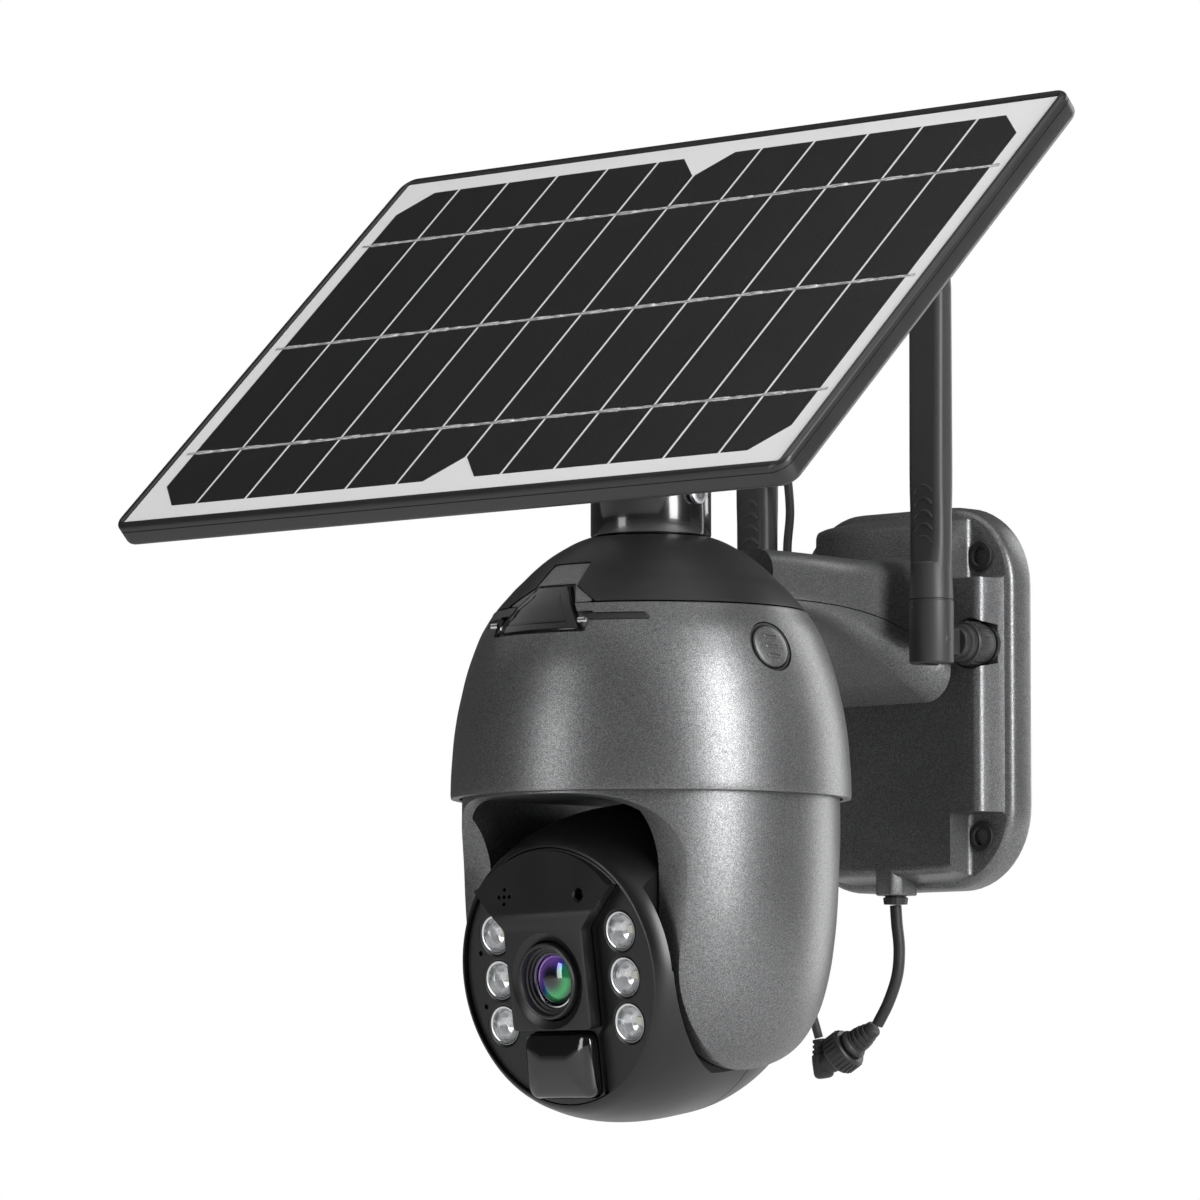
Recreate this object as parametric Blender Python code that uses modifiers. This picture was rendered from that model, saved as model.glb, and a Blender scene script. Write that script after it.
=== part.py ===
"""A wall-mounted pan and tilt security camera under a tilting solar panel, with two aerials.

Lengths are written in millimetres and turned into metres as each mesh is made. The origin is the middle of
the wall base's back face: +Y points into the wall, +Z is up and +X is to the right seen from the front.
"""

import math

import bmesh
import bpy
from mathutils import Euler, Matrix, Vector

MM = 0.001
GAP = 0.35  # clearance between a piece and its neighbour
EPS = 1e-5  # merge distance, in metres
ROUND = 36  # sides of a large turned piece
SMALL_ROUND = 16  # sides of a small one

# Driving places
AXIS_Y = -137.0  # the pan axis, in front of the wall
RIM_Z = -38.6  # lower rim of the fixed housing
TILT_Z = RIM_Z - 52.0  # the tilt axis
HEAD_DROP = 8.5  # the head looks this many degrees down at rest
PANEL_SWIVEL = 0.0
PANEL_TILT = 43.5
PANEL_PIVOT_Z = 80.0

# Wall base
BASE_W = 96.0
BASE_H = 130.0
BASE_R = 28.0
BASE_FRONT = 22.0
SCREW_X = 35.0
SCREW_Z = 47.4
SCREW_R = 2.75
AERIAL_X = 39.2
AERIAL_Y = -41.8
AERIAL_Z = 17.0

# Housing, cap and neck: radius at each height above the rim
HOUSING = ((0.0, 65.7), (7.0, 65.5), (20.0, 64.5), (34.0, 62.0), (46.0, 58.7), (55.0, 55.0), (61.0, 51.3))
CAP = ((61.0, 51.3), (66.0, 47.0), (71.0, 42.2), (77.0, 35.8), (82.0, 28.0), (85.4, 21.3))
SHELL = 3.0
NECK_R = 19.8
NECK_BORE = 15.3
NECK_BOTTOM = RIM_Z + 85.8
NECK_TOP = 66.0

# Yoke: radius at each depth below the rim
YOKE = ((-2.0, 61.8), (10.0, 61.9), (24.0, 61.7), (39.0, 60.9), (50.0, 59.6), (57.0, 58.4), (64.0, 56.8),
        (70.0, 54.9), (76.0, 52.2), (81.0, 49.2), (85.0, 45.4), (88.5, 40.0))
YOKE_INNER_R = 58.8
ARM_HALF = 36.5  # half the front-to-back width of each yoke arm
ARM_INNER_X = 37.5
ARCH_R = 25.0
POCKET_R = 25.0
POCKET_X = 48.4

# Head: radius at each distance along the viewing axis
HEAD = ((44.5, 42.9), (40.0, 45.6), (34.0, 47.9), (26.0, 49.9), (16.0, 51.2), (4.0, 51.5), (-8.0, 50.9),
        (-20.0, 47.5), (-30.0, 41.9), (-40.0, 32.4), (-47.0, 21.0), (-51.0, 7.4), (-51.5, 0.0))
HEAD_WALL = 2.6
HEAD_SPLIT = -2.0
HEAD_FLAT_X = 36.7
RELIEF_R = 39.2
TOP_RELIEF_D = 39.6
FACE_D = 44.5
FACE_R = 41.6
LED_X = 27.8
LED_W = (13.8, -1.0, -15.8)
TRUNNION_R = 8.0
TILT_GEAR_TEETH = 30
TILT_GEAR_PHASE = 0.25

# Solar panel, in its own frame: X along it, Y up its slope, Z out of its face
PANEL_L = 300.0
PANEL_W = 191.0
PANEL_CORNER = 6.0
LAMINATE = 3.6
PANEL_FACE = 50.6  # glass above the tilt pivot
PANEL_SHIFT = 2.7  # middle of the glass up the slope from the pivot
FRAME_H = 9.0
FRAME_LIP = 3.0

STEEL = ((0.55, 0.55, 0.56), 0.35, 1.0)
BRASS = ((0.6, 0.48, 0.24), 0.35, 1.0)
METALLIC_GREY = ((0.16, 0.16, 0.165), 0.42, 0.6)
MATT_BLACK = ((0.014, 0.014, 0.015), 0.5, 0.0)
GLOSS_BLACK = ((0.006, 0.006, 0.007), 0.12, 0.0)
RUBBER = ((0.012, 0.012, 0.012), 0.75, 0.0)
WHITE = ((0.75, 0.76, 0.77), 0.4, 0.0)
CLEAR = ((0.85, 0.87, 0.9), 0.08, 0.0)
CELL = ((0.01, 0.011, 0.014), 0.25, 0.0)
BOARD = ((0.02, 0.16, 0.07), 0.5, 0.0)
BLUE_WRAP = ((0.03, 0.08, 0.3), 0.4, 0.0)
LENS = ((0.02, 0.02, 0.05), 0.05, 0.0)


def clear_scene():
    """Remove what the file opened with."""
    for obj in list(bpy.data.objects):
        bpy.data.objects.remove(obj, do_unlink=True)


def collection(name):
    """A collection of this name, linked to the scene."""
    made = bpy.data.collections.new(name)
    bpy.context.scene.collection.children.link(made)
    return made


def material(look):
    """The Principled material of a (colour, roughness, metallic) look, made once."""
    colour, roughness, metallic = look
    name = "finish_" + "_".join(f"{value:g}" for value in (*colour, roughness, metallic))
    found = bpy.data.materials.get(name)
    if found:
        return found
    made = bpy.data.materials.new(name)
    made.use_nodes = True
    shader = made.node_tree.nodes["Principled BSDF"]
    shader.inputs["Base Color"].default_value = (*colour, 1.0)
    shader.inputs["Roughness"].default_value = roughness
    shader.inputs["Metallic"].default_value = metallic
    return made


def empty(name, place, turn=(0.0, 0.0, 0.0), parent=None):
    """An empty that holds the axes of a sub-assembly; place in mm, turn in degrees."""
    made = bpy.data.objects.new(name, None)
    PARTS.objects.link(made)
    made.parent = parent
    made.location = Vector(place) * MM
    made.rotation_euler = Euler([math.radians(angle) for angle in turn])
    return made


def finish(obj, look, parent, place, turn):
    """Place a sub-part, or a cutter when it has no look."""
    obj.location = Vector(place) * MM
    obj.rotation_euler = Euler([math.radians(angle) for angle in turn])
    obj.parent = parent
    if look is None:
        CUTTERS.objects.link(obj)
        obj.hide_render = True
        obj.display_type = "WIRE"
    else:
        PARTS.objects.link(obj)
        obj.data.materials.append(material(look))
        obj.data.shade_smooth()
        obj.data.set_sharp_from_angle(angle=math.radians(35))
    return obj


def from_bmesh(name, shape, look, parent, place, turn):
    """An object from a bmesh whose numbers are millimetres."""
    bmesh.ops.scale(shape, vec=(MM, MM, MM), verts=shape.verts)
    mesh = bpy.data.meshes.new(name)
    shape.to_mesh(mesh)
    shape.free()
    return finish(bpy.data.objects.new(name, mesh), look, parent, place, turn)


def block(name, size, place, look=None, parent=None, turn=(0.0, 0.0, 0.0)):
    """A box of this size about its place."""
    shape = bmesh.new()
    bmesh.ops.create_cube(shape, size=1.0, matrix=Matrix.Diagonal((*size, 1.0)))
    return from_bmesh(name, shape, look, parent, place, turn)


def rod(name, radius, length, place, look=None, parent=None, turn=(0.0, 0.0, 0.0), sides=SMALL_ROUND):
    """A cylinder along its own Z about its place."""
    shape = bmesh.new()
    bmesh.ops.create_cone(shape, cap_ends=True, segments=sides, radius1=radius, radius2=radius, depth=length)
    return from_bmesh(name, shape, look, parent, place, turn)


def turned(name, profile, place, look=None, parent=None, turn=(0.0, 0.0, 0.0), sides=ROUND, closed=False):
    """A turned piece from (radius, height) points that run down its outer side.

    An open profile starts and ends on the axis; a closed one is a ring's section.
    """
    mesh = bpy.data.meshes.new(name)
    count = len(profile)
    edges = [(i, (i + 1) % count) for i in range(count if closed else count - 1)]
    mesh.from_pydata([(radius * MM, 0.0, height * MM) for radius, height in profile], edges, [])
    obj = finish(bpy.data.objects.new(name, mesh), look, parent, place, turn)
    screw = obj.modifiers.new("turn", "SCREW")
    screw.steps = screw.render_steps = sides
    screw.use_merge_vertices = True
    screw.merge_threshold = EPS
    return obj


def prism(name, outlines, thickness, place, look=None, parent=None, turn=(0.0, 0.0, 0.0)):
    """A flat piece: a filled outline with any holes, extruded along its own Z about its place."""
    curve = bpy.data.curves.new(name, "CURVE")
    curve.dimensions = "2D"
    curve.fill_mode = "BOTH"
    curve.extrude = thickness * MM / 2
    for outline in outlines:
        spline = curve.splines.new("POLY")
        spline.points.add(len(outline) - 1)
        for point, (x, y) in zip(spline.points, outline):
            point.co = (x * MM, y * MM, 0.0, 1.0)
        spline.use_cyclic_u = True
    guide = bpy.data.objects.new(name + "_curve", curve)
    bpy.context.scene.collection.objects.link(guide)
    mesh = bpy.data.meshes.new_from_object(guide.evaluated_get(bpy.context.evaluated_depsgraph_get()))
    bpy.data.objects.remove(guide)
    shape = bmesh.new()
    shape.from_mesh(mesh)
    bmesh.ops.remove_doubles(shape, verts=shape.verts, dist=EPS)
    bmesh.ops.recalc_face_normals(shape, faces=shape.faces)
    shape.to_mesh(mesh)
    shape.free()
    mesh.name = name
    return finish(bpy.data.objects.new(name, mesh), look, parent, place, turn)


def loft(name, rings, look=None, parent=None, place=(0.0, 0.0, 0.0)):
    """A skin through rings of matching points, with its ends filled."""
    shape = bmesh.new()
    rows = [[shape.verts.new(point) for point in ring] for ring in rings]
    count = len(rows[0])
    for first, second in zip(rows, rows[1:]):
        for i in range(count):
            j = (i + 1) % count
            shape.faces.new((first[i], first[j], second[j], second[i]))
    shape.faces.new(rows[0])
    shape.faces.new(rows[-1])
    bmesh.ops.recalc_face_normals(shape, faces=shape.faces)
    return from_bmesh(name, shape, look, parent, place, (0.0, 0.0, 0.0))


def smooth_route(points, step):
    """Evenly read points of a Catmull-Rom curve through the route's own points."""
    knots = [Vector(point) for point in points]
    knots = [2 * knots[0] - knots[1]] + knots + [2 * knots[-1] - knots[-2]]
    fine = []
    for a, b, c, d in zip(knots, knots[1:], knots[2:], knots[3:]):
        for i in range(24):
            t = i / 24
            fine.append(0.5 * (2 * b + (c - a) * t + (2 * a - 5 * b + 4 * c - d) * t**2
                               + (3 * b - a - 3 * c + d) * t**3))
    fine.append(knots[-2])
    lengths = [0.0]
    for a, b in zip(fine, fine[1:]):
        lengths.append(lengths[-1] + (b - a).length)
    count = max(2, round(lengths[-1] / step))
    route, near = [], 0
    for i in range(count + 1):
        want = lengths[-1] * i / count
        while near < len(fine) - 2 and lengths[near + 1] < want:
            near += 1
        share = (want - lengths[near]) / (lengths[near + 1] - lengths[near])
        route.append(fine[near].lerp(fine[near + 1], min(1.0, share)))
    return route


def tube(name, points, radius, look):
    """A cord's tube along a smooth route through these points."""
    curve = bpy.data.curves.new(name, "CURVE")
    curve.dimensions = "3D"
    curve.bevel_depth = radius * MM
    curve.bevel_resolution = 2
    curve.use_fill_caps = True
    route = smooth_route(points, radius * 5)
    spline = curve.splines.new("POLY")
    spline.points.add(len(route) - 1)
    for point, place in zip(spline.points, route):
        point.co = (*(place * MM), 1.0)
    obj = bpy.data.objects.new(name, curve)
    curve.materials.append(material(look))
    PARTS.objects.link(obj)
    return obj


def combine(obj, operation, *others):
    """Add Boolean modifiers in order; the others are cutters."""
    for other in others:
        boolean = obj.modifiers.new(operation.lower(), "BOOLEAN")
        boolean.operation = operation
        boolean.object = other
    return obj


def cut(obj, *cutters):
    """Cut these shapes out of an object."""
    return combine(obj, "DIFFERENCE", *cutters)


def join(obj, *others):
    """Join these shapes to an object."""
    return combine(obj, "UNION", *others)


def keep(obj, *others):
    """Keep only what lies inside these shapes."""
    return combine(obj, "INTERSECT", *others)


def rounded(half_x, half_y, radius, corner_points=5, centre=(0.0, 0.0)):
    """A rounded rectangle's outline, anticlockwise."""
    outline = []
    for corner, (sx, sy) in enumerate(((1, 1), (-1, 1), (-1, -1), (1, -1))):
        for i in range(corner_points + 1):
            angle = math.radians(90 * corner + 90 * i / corner_points)
            x = centre[0] + sx * (half_x - radius) + radius * math.cos(angle)
            y = centre[1] + sy * (half_y - radius) + radius * math.sin(angle)
            outline.append((x, y))
    return outline


def circle(radius, count=SMALL_ROUND, centre=(0.0, 0.0)):
    """A circle's outline."""
    return [(centre[0] + radius * math.cos(2 * math.pi * i / count),
             centre[1] + radius * math.sin(2 * math.pi * i / count)) for i in range(count)]


def gear_outline(teeth, module, phase=0.0):
    """A spur gear's outline with straight-sided teeth, thinned for backlash; phase in teeth."""
    pitch = teeth * module / 2
    steps = ((-0.33, -1.15), (-0.13, 0.8), (0.13, 0.8), (0.33, -1.15))
    return [(math.cos(angle) * radius, math.sin(angle) * radius)
            for tooth in range(teeth)
            for offset, height in steps
            for angle in (2 * math.pi * (tooth + phase + offset) / teeth,)
            for radius in (pitch + height * module,)]


def dome(profile, inset=0.0):
    """(radius, height) points of a shell's outer side, top to bottom, moved in by inset."""
    return [(radius - inset, height) for height, radius in reversed(profile)]


def ring_profile(profile, wall):
    """A closed section: down the outer side and up the inner side."""
    outer = dome(profile)
    inner = [(radius - wall, height) for radius, height in reversed(outer)]
    return outer + inner


def solid_profile(profile, inset=0.0):
    """An open section that fills a shell's outline to the axis."""
    outer = dome(profile, inset)
    return [(0.0, outer[0][1])] + outer + [(0.0, outer[-1][1])]


# ---------------------------------------------------------------- wall base


def base_ring(y, half_w, half_h, radius):
    """One outline of the base at depth y in front of the wall."""
    return [(x, -y, z) for x, z in rounded(half_w, half_h, radius)]


def build_base():
    """Wall plate, moulded cover with four screw pockets, aerial sockets and the cable gland."""
    half_w, half_h = BASE_W / 2, BASE_H / 2
    screws = [(sx * SCREW_X, sz * SCREW_Z) for sx in (-1, 1) for sz in (-1, 1)]
    holes = [circle(SCREW_R, 16, (x, -z)) for x, z in screws]
    outline = rounded(half_w - 3.6, half_h - 3.6, BASE_R - 3.6)
    prism("wall_plate", [outline] + holes, 2.6, (0, -1.3, 0), STEEL, turn=(-90, 0, 0))

    cover = loft("base_cover", [
        base_ring(0.0, half_w - 0.8, half_h - 0.8, BASE_R - 0.8),
        base_ring(1.5, half_w, half_h, BASE_R),
        base_ring(8.5, half_w, half_h, BASE_R),
        base_ring(10.6, half_w - 0.7, half_h - 0.7, BASE_R - 0.7),
        base_ring(11.4, half_w - 2.3, half_h - 2.3, BASE_R - 2.3),
        base_ring(20.0, 43.0, 55.4, 19.0),
        base_ring(21.5, 42.0, 54.4, 18.0),
        base_ring(BASE_FRONT, 40.4, 52.8, 16.5),
    ], METALLIC_GREY)
    hollow = loft("base_hollow", [
        base_ring(-1.0, half_w - 3.2, half_h - 3.2, BASE_R - 3.2),
        base_ring(8.8, half_w - 3.2, half_h - 3.2, BASE_R - 3.2),
        base_ring(19.4, 39.6, 52.0, 15.5),
    ])
    pockets, walls = [], []
    for sx in (-1, 1):
        for sz in (-1, 1):
            corner = f"{'r' if sx > 0 else 'l'}{'t' if sz > 0 else 'b'}"
            pocket = block(f"pocket_{corner}", (30, 20, 30), (sx * 45, -21.2, sz * 54.4))
            wall = block(f"pocket_wall_{corner}", (34.8, 20, 34.8), (sx * 45, -18.8, sz * 54.4))
            pockets.append(pocket)
            walls.append(wall)
    recesses = []
    for sx in (-1, 1):
        side = "r" if sx > 0 else "l"
        place = (sx * AERIAL_X, -23.5, AERIAL_Z)
        recesses.append(rod(f"aerial_recess_{side}", 8.4, 20.0, place, turn=(90, 0, 0)))
        walls.append(rod(f"aerial_wall_{side}", 10.8, 20.0, (place[0], -21.1, place[2]), turn=(90, 0, 0)))
    cut(hollow, *walls)
    screw_cuts = [rod(f"screw_cut_{i}", SCREW_R, 30, (x, -10, z), turn=(90, 0, 0), sides=16)
                  for i, (x, z) in enumerate(screws)]
    socket_cuts = [rod(f"socket_cut_{i}", 3.6, 12, (x, -12, AERIAL_Z), turn=(90, 0, 0), sides=16)
                   for i, x in enumerate((-AERIAL_X, AERIAL_X))]
    boss = prism("gland_boss", [rounded(5.6, 5.5, 5.4, 5, (0, -16.5))], 11.0, (0, 0, -61.0))
    gland_cut = rod("gland_cut", 4.0, 20, (0, -15.5, -64), sides=16)
    wire_cut = rod("wire_cut", 6.0, 12, (0, -20, 26), turn=(90, 0, 0), sides=16)
    join(cover, boss)
    cut(cover, hollow, *pockets, *recesses, *screw_cuts, *socket_cuts, gland_cut, wire_cut)
    turned("cable_gland", [(0, -58), (3.6, -58), (3.6, -66.9), (4.3, -67.2), (4.0, -69.4), (0, -69.4)],
           (0, -15.5, 0), RUBBER, sides=16)


def arm_ring(y, half_w, bottom, top, radius):
    """One section of the arm at y."""
    middle, half_h = (top + bottom) / 2, (top - bottom) / 2
    return [(x, y, z) for x, z in rounded(half_w, half_h, radius, 5, (0, middle))]


def build_arm():
    """The hollow-cast arm between housing and base, split along its seam into two halves."""
    sections = (
        (-100.0, 20.5, 25.0, 45.5, 7.0),
        (-84.0, 20.5, 24.5, 45.5, 7.0),
        (-70.0, 20.5, 22.8, 45.4, 7.5),
        (-58.0, 21.0, 19.5, 45.2, 8.0),
        (-47.0, 22.5, 14.5, 45.0, 8.5),
        (-38.0, 24.5, 9.0, 45.0, 9.0),
        (-31.0, 26.5, 4.0, 45.4, 9.5),
        (-26.0, 28.5, 0.5, 46.2, 10.0),
        (-22.4, 31.0, -2.0, 48.0, 11.0),
    )
    housing = turned("arm_seat", solid_profile(HOUSING + CAP[1:], -GAP), (0, AXIS_Y, RIM_Z))
    lower_half = loft("arm_seam_block", [
        [(x, y, z + seam) for x, z in ((-60, 0), (-60, -60), (60, -60), (60, 0))]
        for y, seam in ((-110, 28.6), (-80, 28.6), (-60, 27.2), (-45, 24.0), (-33, 18.5), (-10, 6.0))])
    lower_gap = loft("arm_seam_gap", [
        [(x, y, z + seam + GAP) for x, z in ((-60, 0), (-60, -60), (60, -60), (60, 0))]
        for y, seam in ((-110, 28.6), (-80, 28.6), (-60, 27.2), (-45, 24.0), (-33, 18.5), (-10, 6.0))])
    upper = loft("arm_upper", [arm_ring(*section) for section in sections], METALLIC_GREY)
    cut(upper, housing, lower_gap)
    lower = loft("arm_lower", [arm_ring(*section) for section in sections], METALLIC_GREY)
    cut(lower, housing)
    keep(lower, lower_half)


# ------------------------------------------------- fixed housing, cap, latch and neck


def latch_prism(name, points, look=None):
    """A shape that runs front to back through the crown, from (x, height above the rim) points."""
    return prism(name, [points], 60.0, (0, AXIS_Y - 50.0, RIM_Z), look, turn=(90, 0, 0))


def build_housing():
    """Grey housing, black cap, crown insert, hinged slot cover and the neck."""
    centre = (0, AXIS_Y, RIM_Z)
    housing = turned("upper_housing", ring_profile(HOUSING, SHELL), centre, METALLIC_GREY, closed=True)
    cap_points = ((CAP[0][0] + GAP, CAP[0][1]),) + CAP[1:]
    cap = turned("top_cap", ring_profile(cap_points, SHELL), centre, MATT_BLACK, closed=True)

    notch = latch_prism("crown_notch", [(8.2, 75.4), (-8.2, 75.4), (-9.4, 67.4), (-22.0, 60.0), (22.0, 60.0),
                                        (9.4, 67.4)])
    crown = latch_prism("crown_insert", [(7.8, 75.0), (-7.8, 75.0), (-9.1, 67.0), (-19.0, 61.4), (19.0, 61.4),
                                         (9.1, 67.0)], METALLIC_GREY)
    whole = HOUSING + CAP[1:]
    crown_skin = turned("crown_skin", ring_profile([(h, r - 0.7) for h, r in whole[4:]], 3.6), centre, closed=True)
    flap_room = latch_prism("flap_room", [(8.3, 68.2), (-8.3, 68.2), (-15.3, 58.2), (-20.8, 58.2), (-20.8, 51.0),
                                          (20.8, 51.0), (20.8, 58.2), (15.3, 58.2)])
    flap_core = turned("flap_core", solid_profile(whole, 2.3), centre)
    cut(flap_room, flap_core)
    keep(crown, crown_skin)
    cut(crown, flap_room)
    cut(cap, notch, flap_room)
    cut(housing, flap_room)

    flap = latch_prism("slot_cover", [(6.9, 66.9), (-6.9, 66.9), (-18.5, 52.2), (18.5, 52.2)], MATT_BLACK)
    flap_skin = turned("flap_skin", ring_profile([(h, r + 0.7) for h, r in whole[3:]], 2.6), centre, closed=True)
    keep(flap, flap_skin)

    build_button(housing)
    build_neck()


def build_button(housing):
    """The round call button on the housing's right side, with its seal."""
    turn_out = 85.0
    slope = 19.0
    axes = empty("button_axes", (57.9 * math.sin(math.radians(turn_out)),
                                 AXIS_Y - 57.9 * math.cos(math.radians(turn_out)), RIM_Z + 47.2),
                 (90 - slope, 0, turn_out))
    cut(housing, rod("button_hole", 8.65, 14, (0, 0, 0), parent=axes, sides=28))
    rim = [(8.3, -0.9), (8.3, -5.2), (2.6, -5.2), (2.6, -4.2), (7.5, -4.2), (7.5, -0.9)]
    turned("button_seal", rim, (0, 0, 0), RUBBER, parent=axes, sides=28, closed=True)
    button = turned("side_button", [(0, 0.45), (6.4, 0.25), (7.1, -0.3), (7.1, -2.4), (0, -2.4)], (0, 0, 0),
                    METALLIC_GREY, parent=axes, sides=28)
    join(button, rod("button_stem", 1.6, 3.0, (0, 0, -3.6), parent=axes, sides=12))


def build_neck():
    """Fixed neck tube with its clamp screw."""
    neck = turned("neck_tube", [(NECK_R, NECK_TOP), (NECK_R, NECK_BOTTOM + 0.6), (19.3, NECK_BOTTOM),
                                (16.6, NECK_BOTTOM), (16.6, 43.0), (NECK_BORE, 43.0), (NECK_BORE, NECK_TOP)],
                  (0, AXIS_Y, 0), GLOSS_BLACK, closed=True)
    cut(neck, rod("clamp_thread", 2.4, 12, (17, AXIS_Y, 61.0), turn=(0, 90, 0), sides=12))
    screw = rod("clamp_screw", 2.05, 6.0, (18.9, AXIS_Y, 61.0), STEEL, turn=(0, 90, 0), sides=12)
    join(screw, rod("clamp_head", 3.7, 2.4, (21.3, AXIS_Y, 61.0), turn=(0, 90, 0), sides=16))


def build_inside():
    """What the fixed housing holds: bearing plate, motor, battery, board and speaker."""
    turned("pan_plate", [(61.6, -29.4), (61.6, -31.8), (20.5, -31.8), (20.5, -26.0), (24.0, -26.0), (24.0, -29.4)],
           (0, AXIS_Y, 0), MATT_BLACK, closed=True)
    rod("pan_motor", 14.0, 10.0, (0, AXIS_Y + 28.8, -12.4), STEEL, sides=24)
    pack = rod("battery_pack", 9.2, 65.0, (0, AXIS_Y, 3.0), BLUE_WRAP, turn=(90, 0, 0), sides=18)
    join(pack, *[rod(f"battery_cell_{i}", 9.2, 65.0, (x, AXIS_Y, 3.0), turn=(90, 0, 0), sides=18)
                 for i, x in enumerate((-18.0, 18.0))])
    prism("main_board", [circle(43.0, 32), rounded(15.5, 15.5, 5, 3)], 1.6, (0, AXIS_Y, 15.5), BOARD)
    speaker = rod("speaker", 14.0, 6.0, (0, AXIS_Y - 39, -21.0), MATT_BLACK, sides=24)
    join(speaker, rod("speaker_magnet", 8.0, 5.0, (0, AXIS_Y - 39, -16.5), sides=16))


# ---------------------------------------------------------------- pan and tilt


def side_outline():
    """The yoke from the side: full width at its top, arched in to two straight sides and a round end.

    Points are (forward, height) about the tilt axis.
    """
    outline = []
    top = TILT_Z * -1 + RIM_Z  # height of the rim above the tilt axis
    for sign in (1, -1):
        arch = [(sign * 70.0, top + 3.0), (sign * 70.0, top - 0.6)]
        for i in range(9):
            angle = math.radians(90 * i / 8)
            arch.append((sign * (ARM_HALF + ARCH_R * (1 - math.sin(angle))),
                         top - 0.6 - ARCH_R * (1 - math.cos(angle))))
        round_end = [(sign * ARM_HALF * math.cos(math.radians(15 * i)), -ARM_HALF * math.sin(math.radians(15 * i)))
                     for i in range(6)]
        side = arch + round_end
        outline += side if sign > 0 else [(0.0, -ARM_HALF)] + side[::-1]
    return outline


def build_yoke():
    """The turning yoke with its hub and gear, and the pinion that drives it."""
    yoke = turned("yoke", [(0, 2.0)] + [(radius, -depth) for depth, radius in YOKE] + [(0, -88.5)],
                  (0, AXIS_Y, RIM_Z), METALLIC_GREY)
    side = prism("yoke_side", [side_outline()], 140.0, (0, AXIS_Y, TILT_Z), turn=(90, 0, -90))
    keep(yoke, side)
    cavity = turned("yoke_cavity", [(0, -0.4), (YOKE_INNER_R, -0.4), (YOKE_INNER_R, -95.0), (0, -95.0)],
                    (0, AXIS_Y, RIM_Z))
    keep(cavity, block("head_room", (2 * ARM_INNER_X, 140, 120), (0, AXIS_Y, RIM_Z - 58)))
    cut(yoke, cavity)
    for sign, name in ((-1, "left"), (1, "right")):
        middle = (ARM_INNER_X + POCKET_X) / 2
        cut(yoke, rod(f"arm_pocket_{name}", POCKET_R, POCKET_X - ARM_INNER_X + 1.0,
                      (sign * (middle - 0.5), AXIS_Y, TILT_Z), turn=(0, 90, 0), sides=32))
    hub = turned("yoke_hub", [(20.0, -22.0), (20.0, -37.0), (12.0, -37.0), (12.0, -22.0)], (0, AXIS_Y, 0),
                 closed=True, sides=32)
    cut(yoke, rod("yoke_wire_hole", 12.0, 10, (0, AXIS_Y, RIM_Z + 2), sides=32))
    join(yoke, hub)
    prism("pan_gear", [gear_outline(36, 1.2), circle(14.5, 24)], 3.4, (0, AXIS_Y, -19.9), WHITE)
    prism("pan_pinion", [gear_outline(12, 1.2, 0.5), circle(2.0, 10)], 3.0, (0, AXIS_Y + 28.8, -19.9), BRASS)


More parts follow.
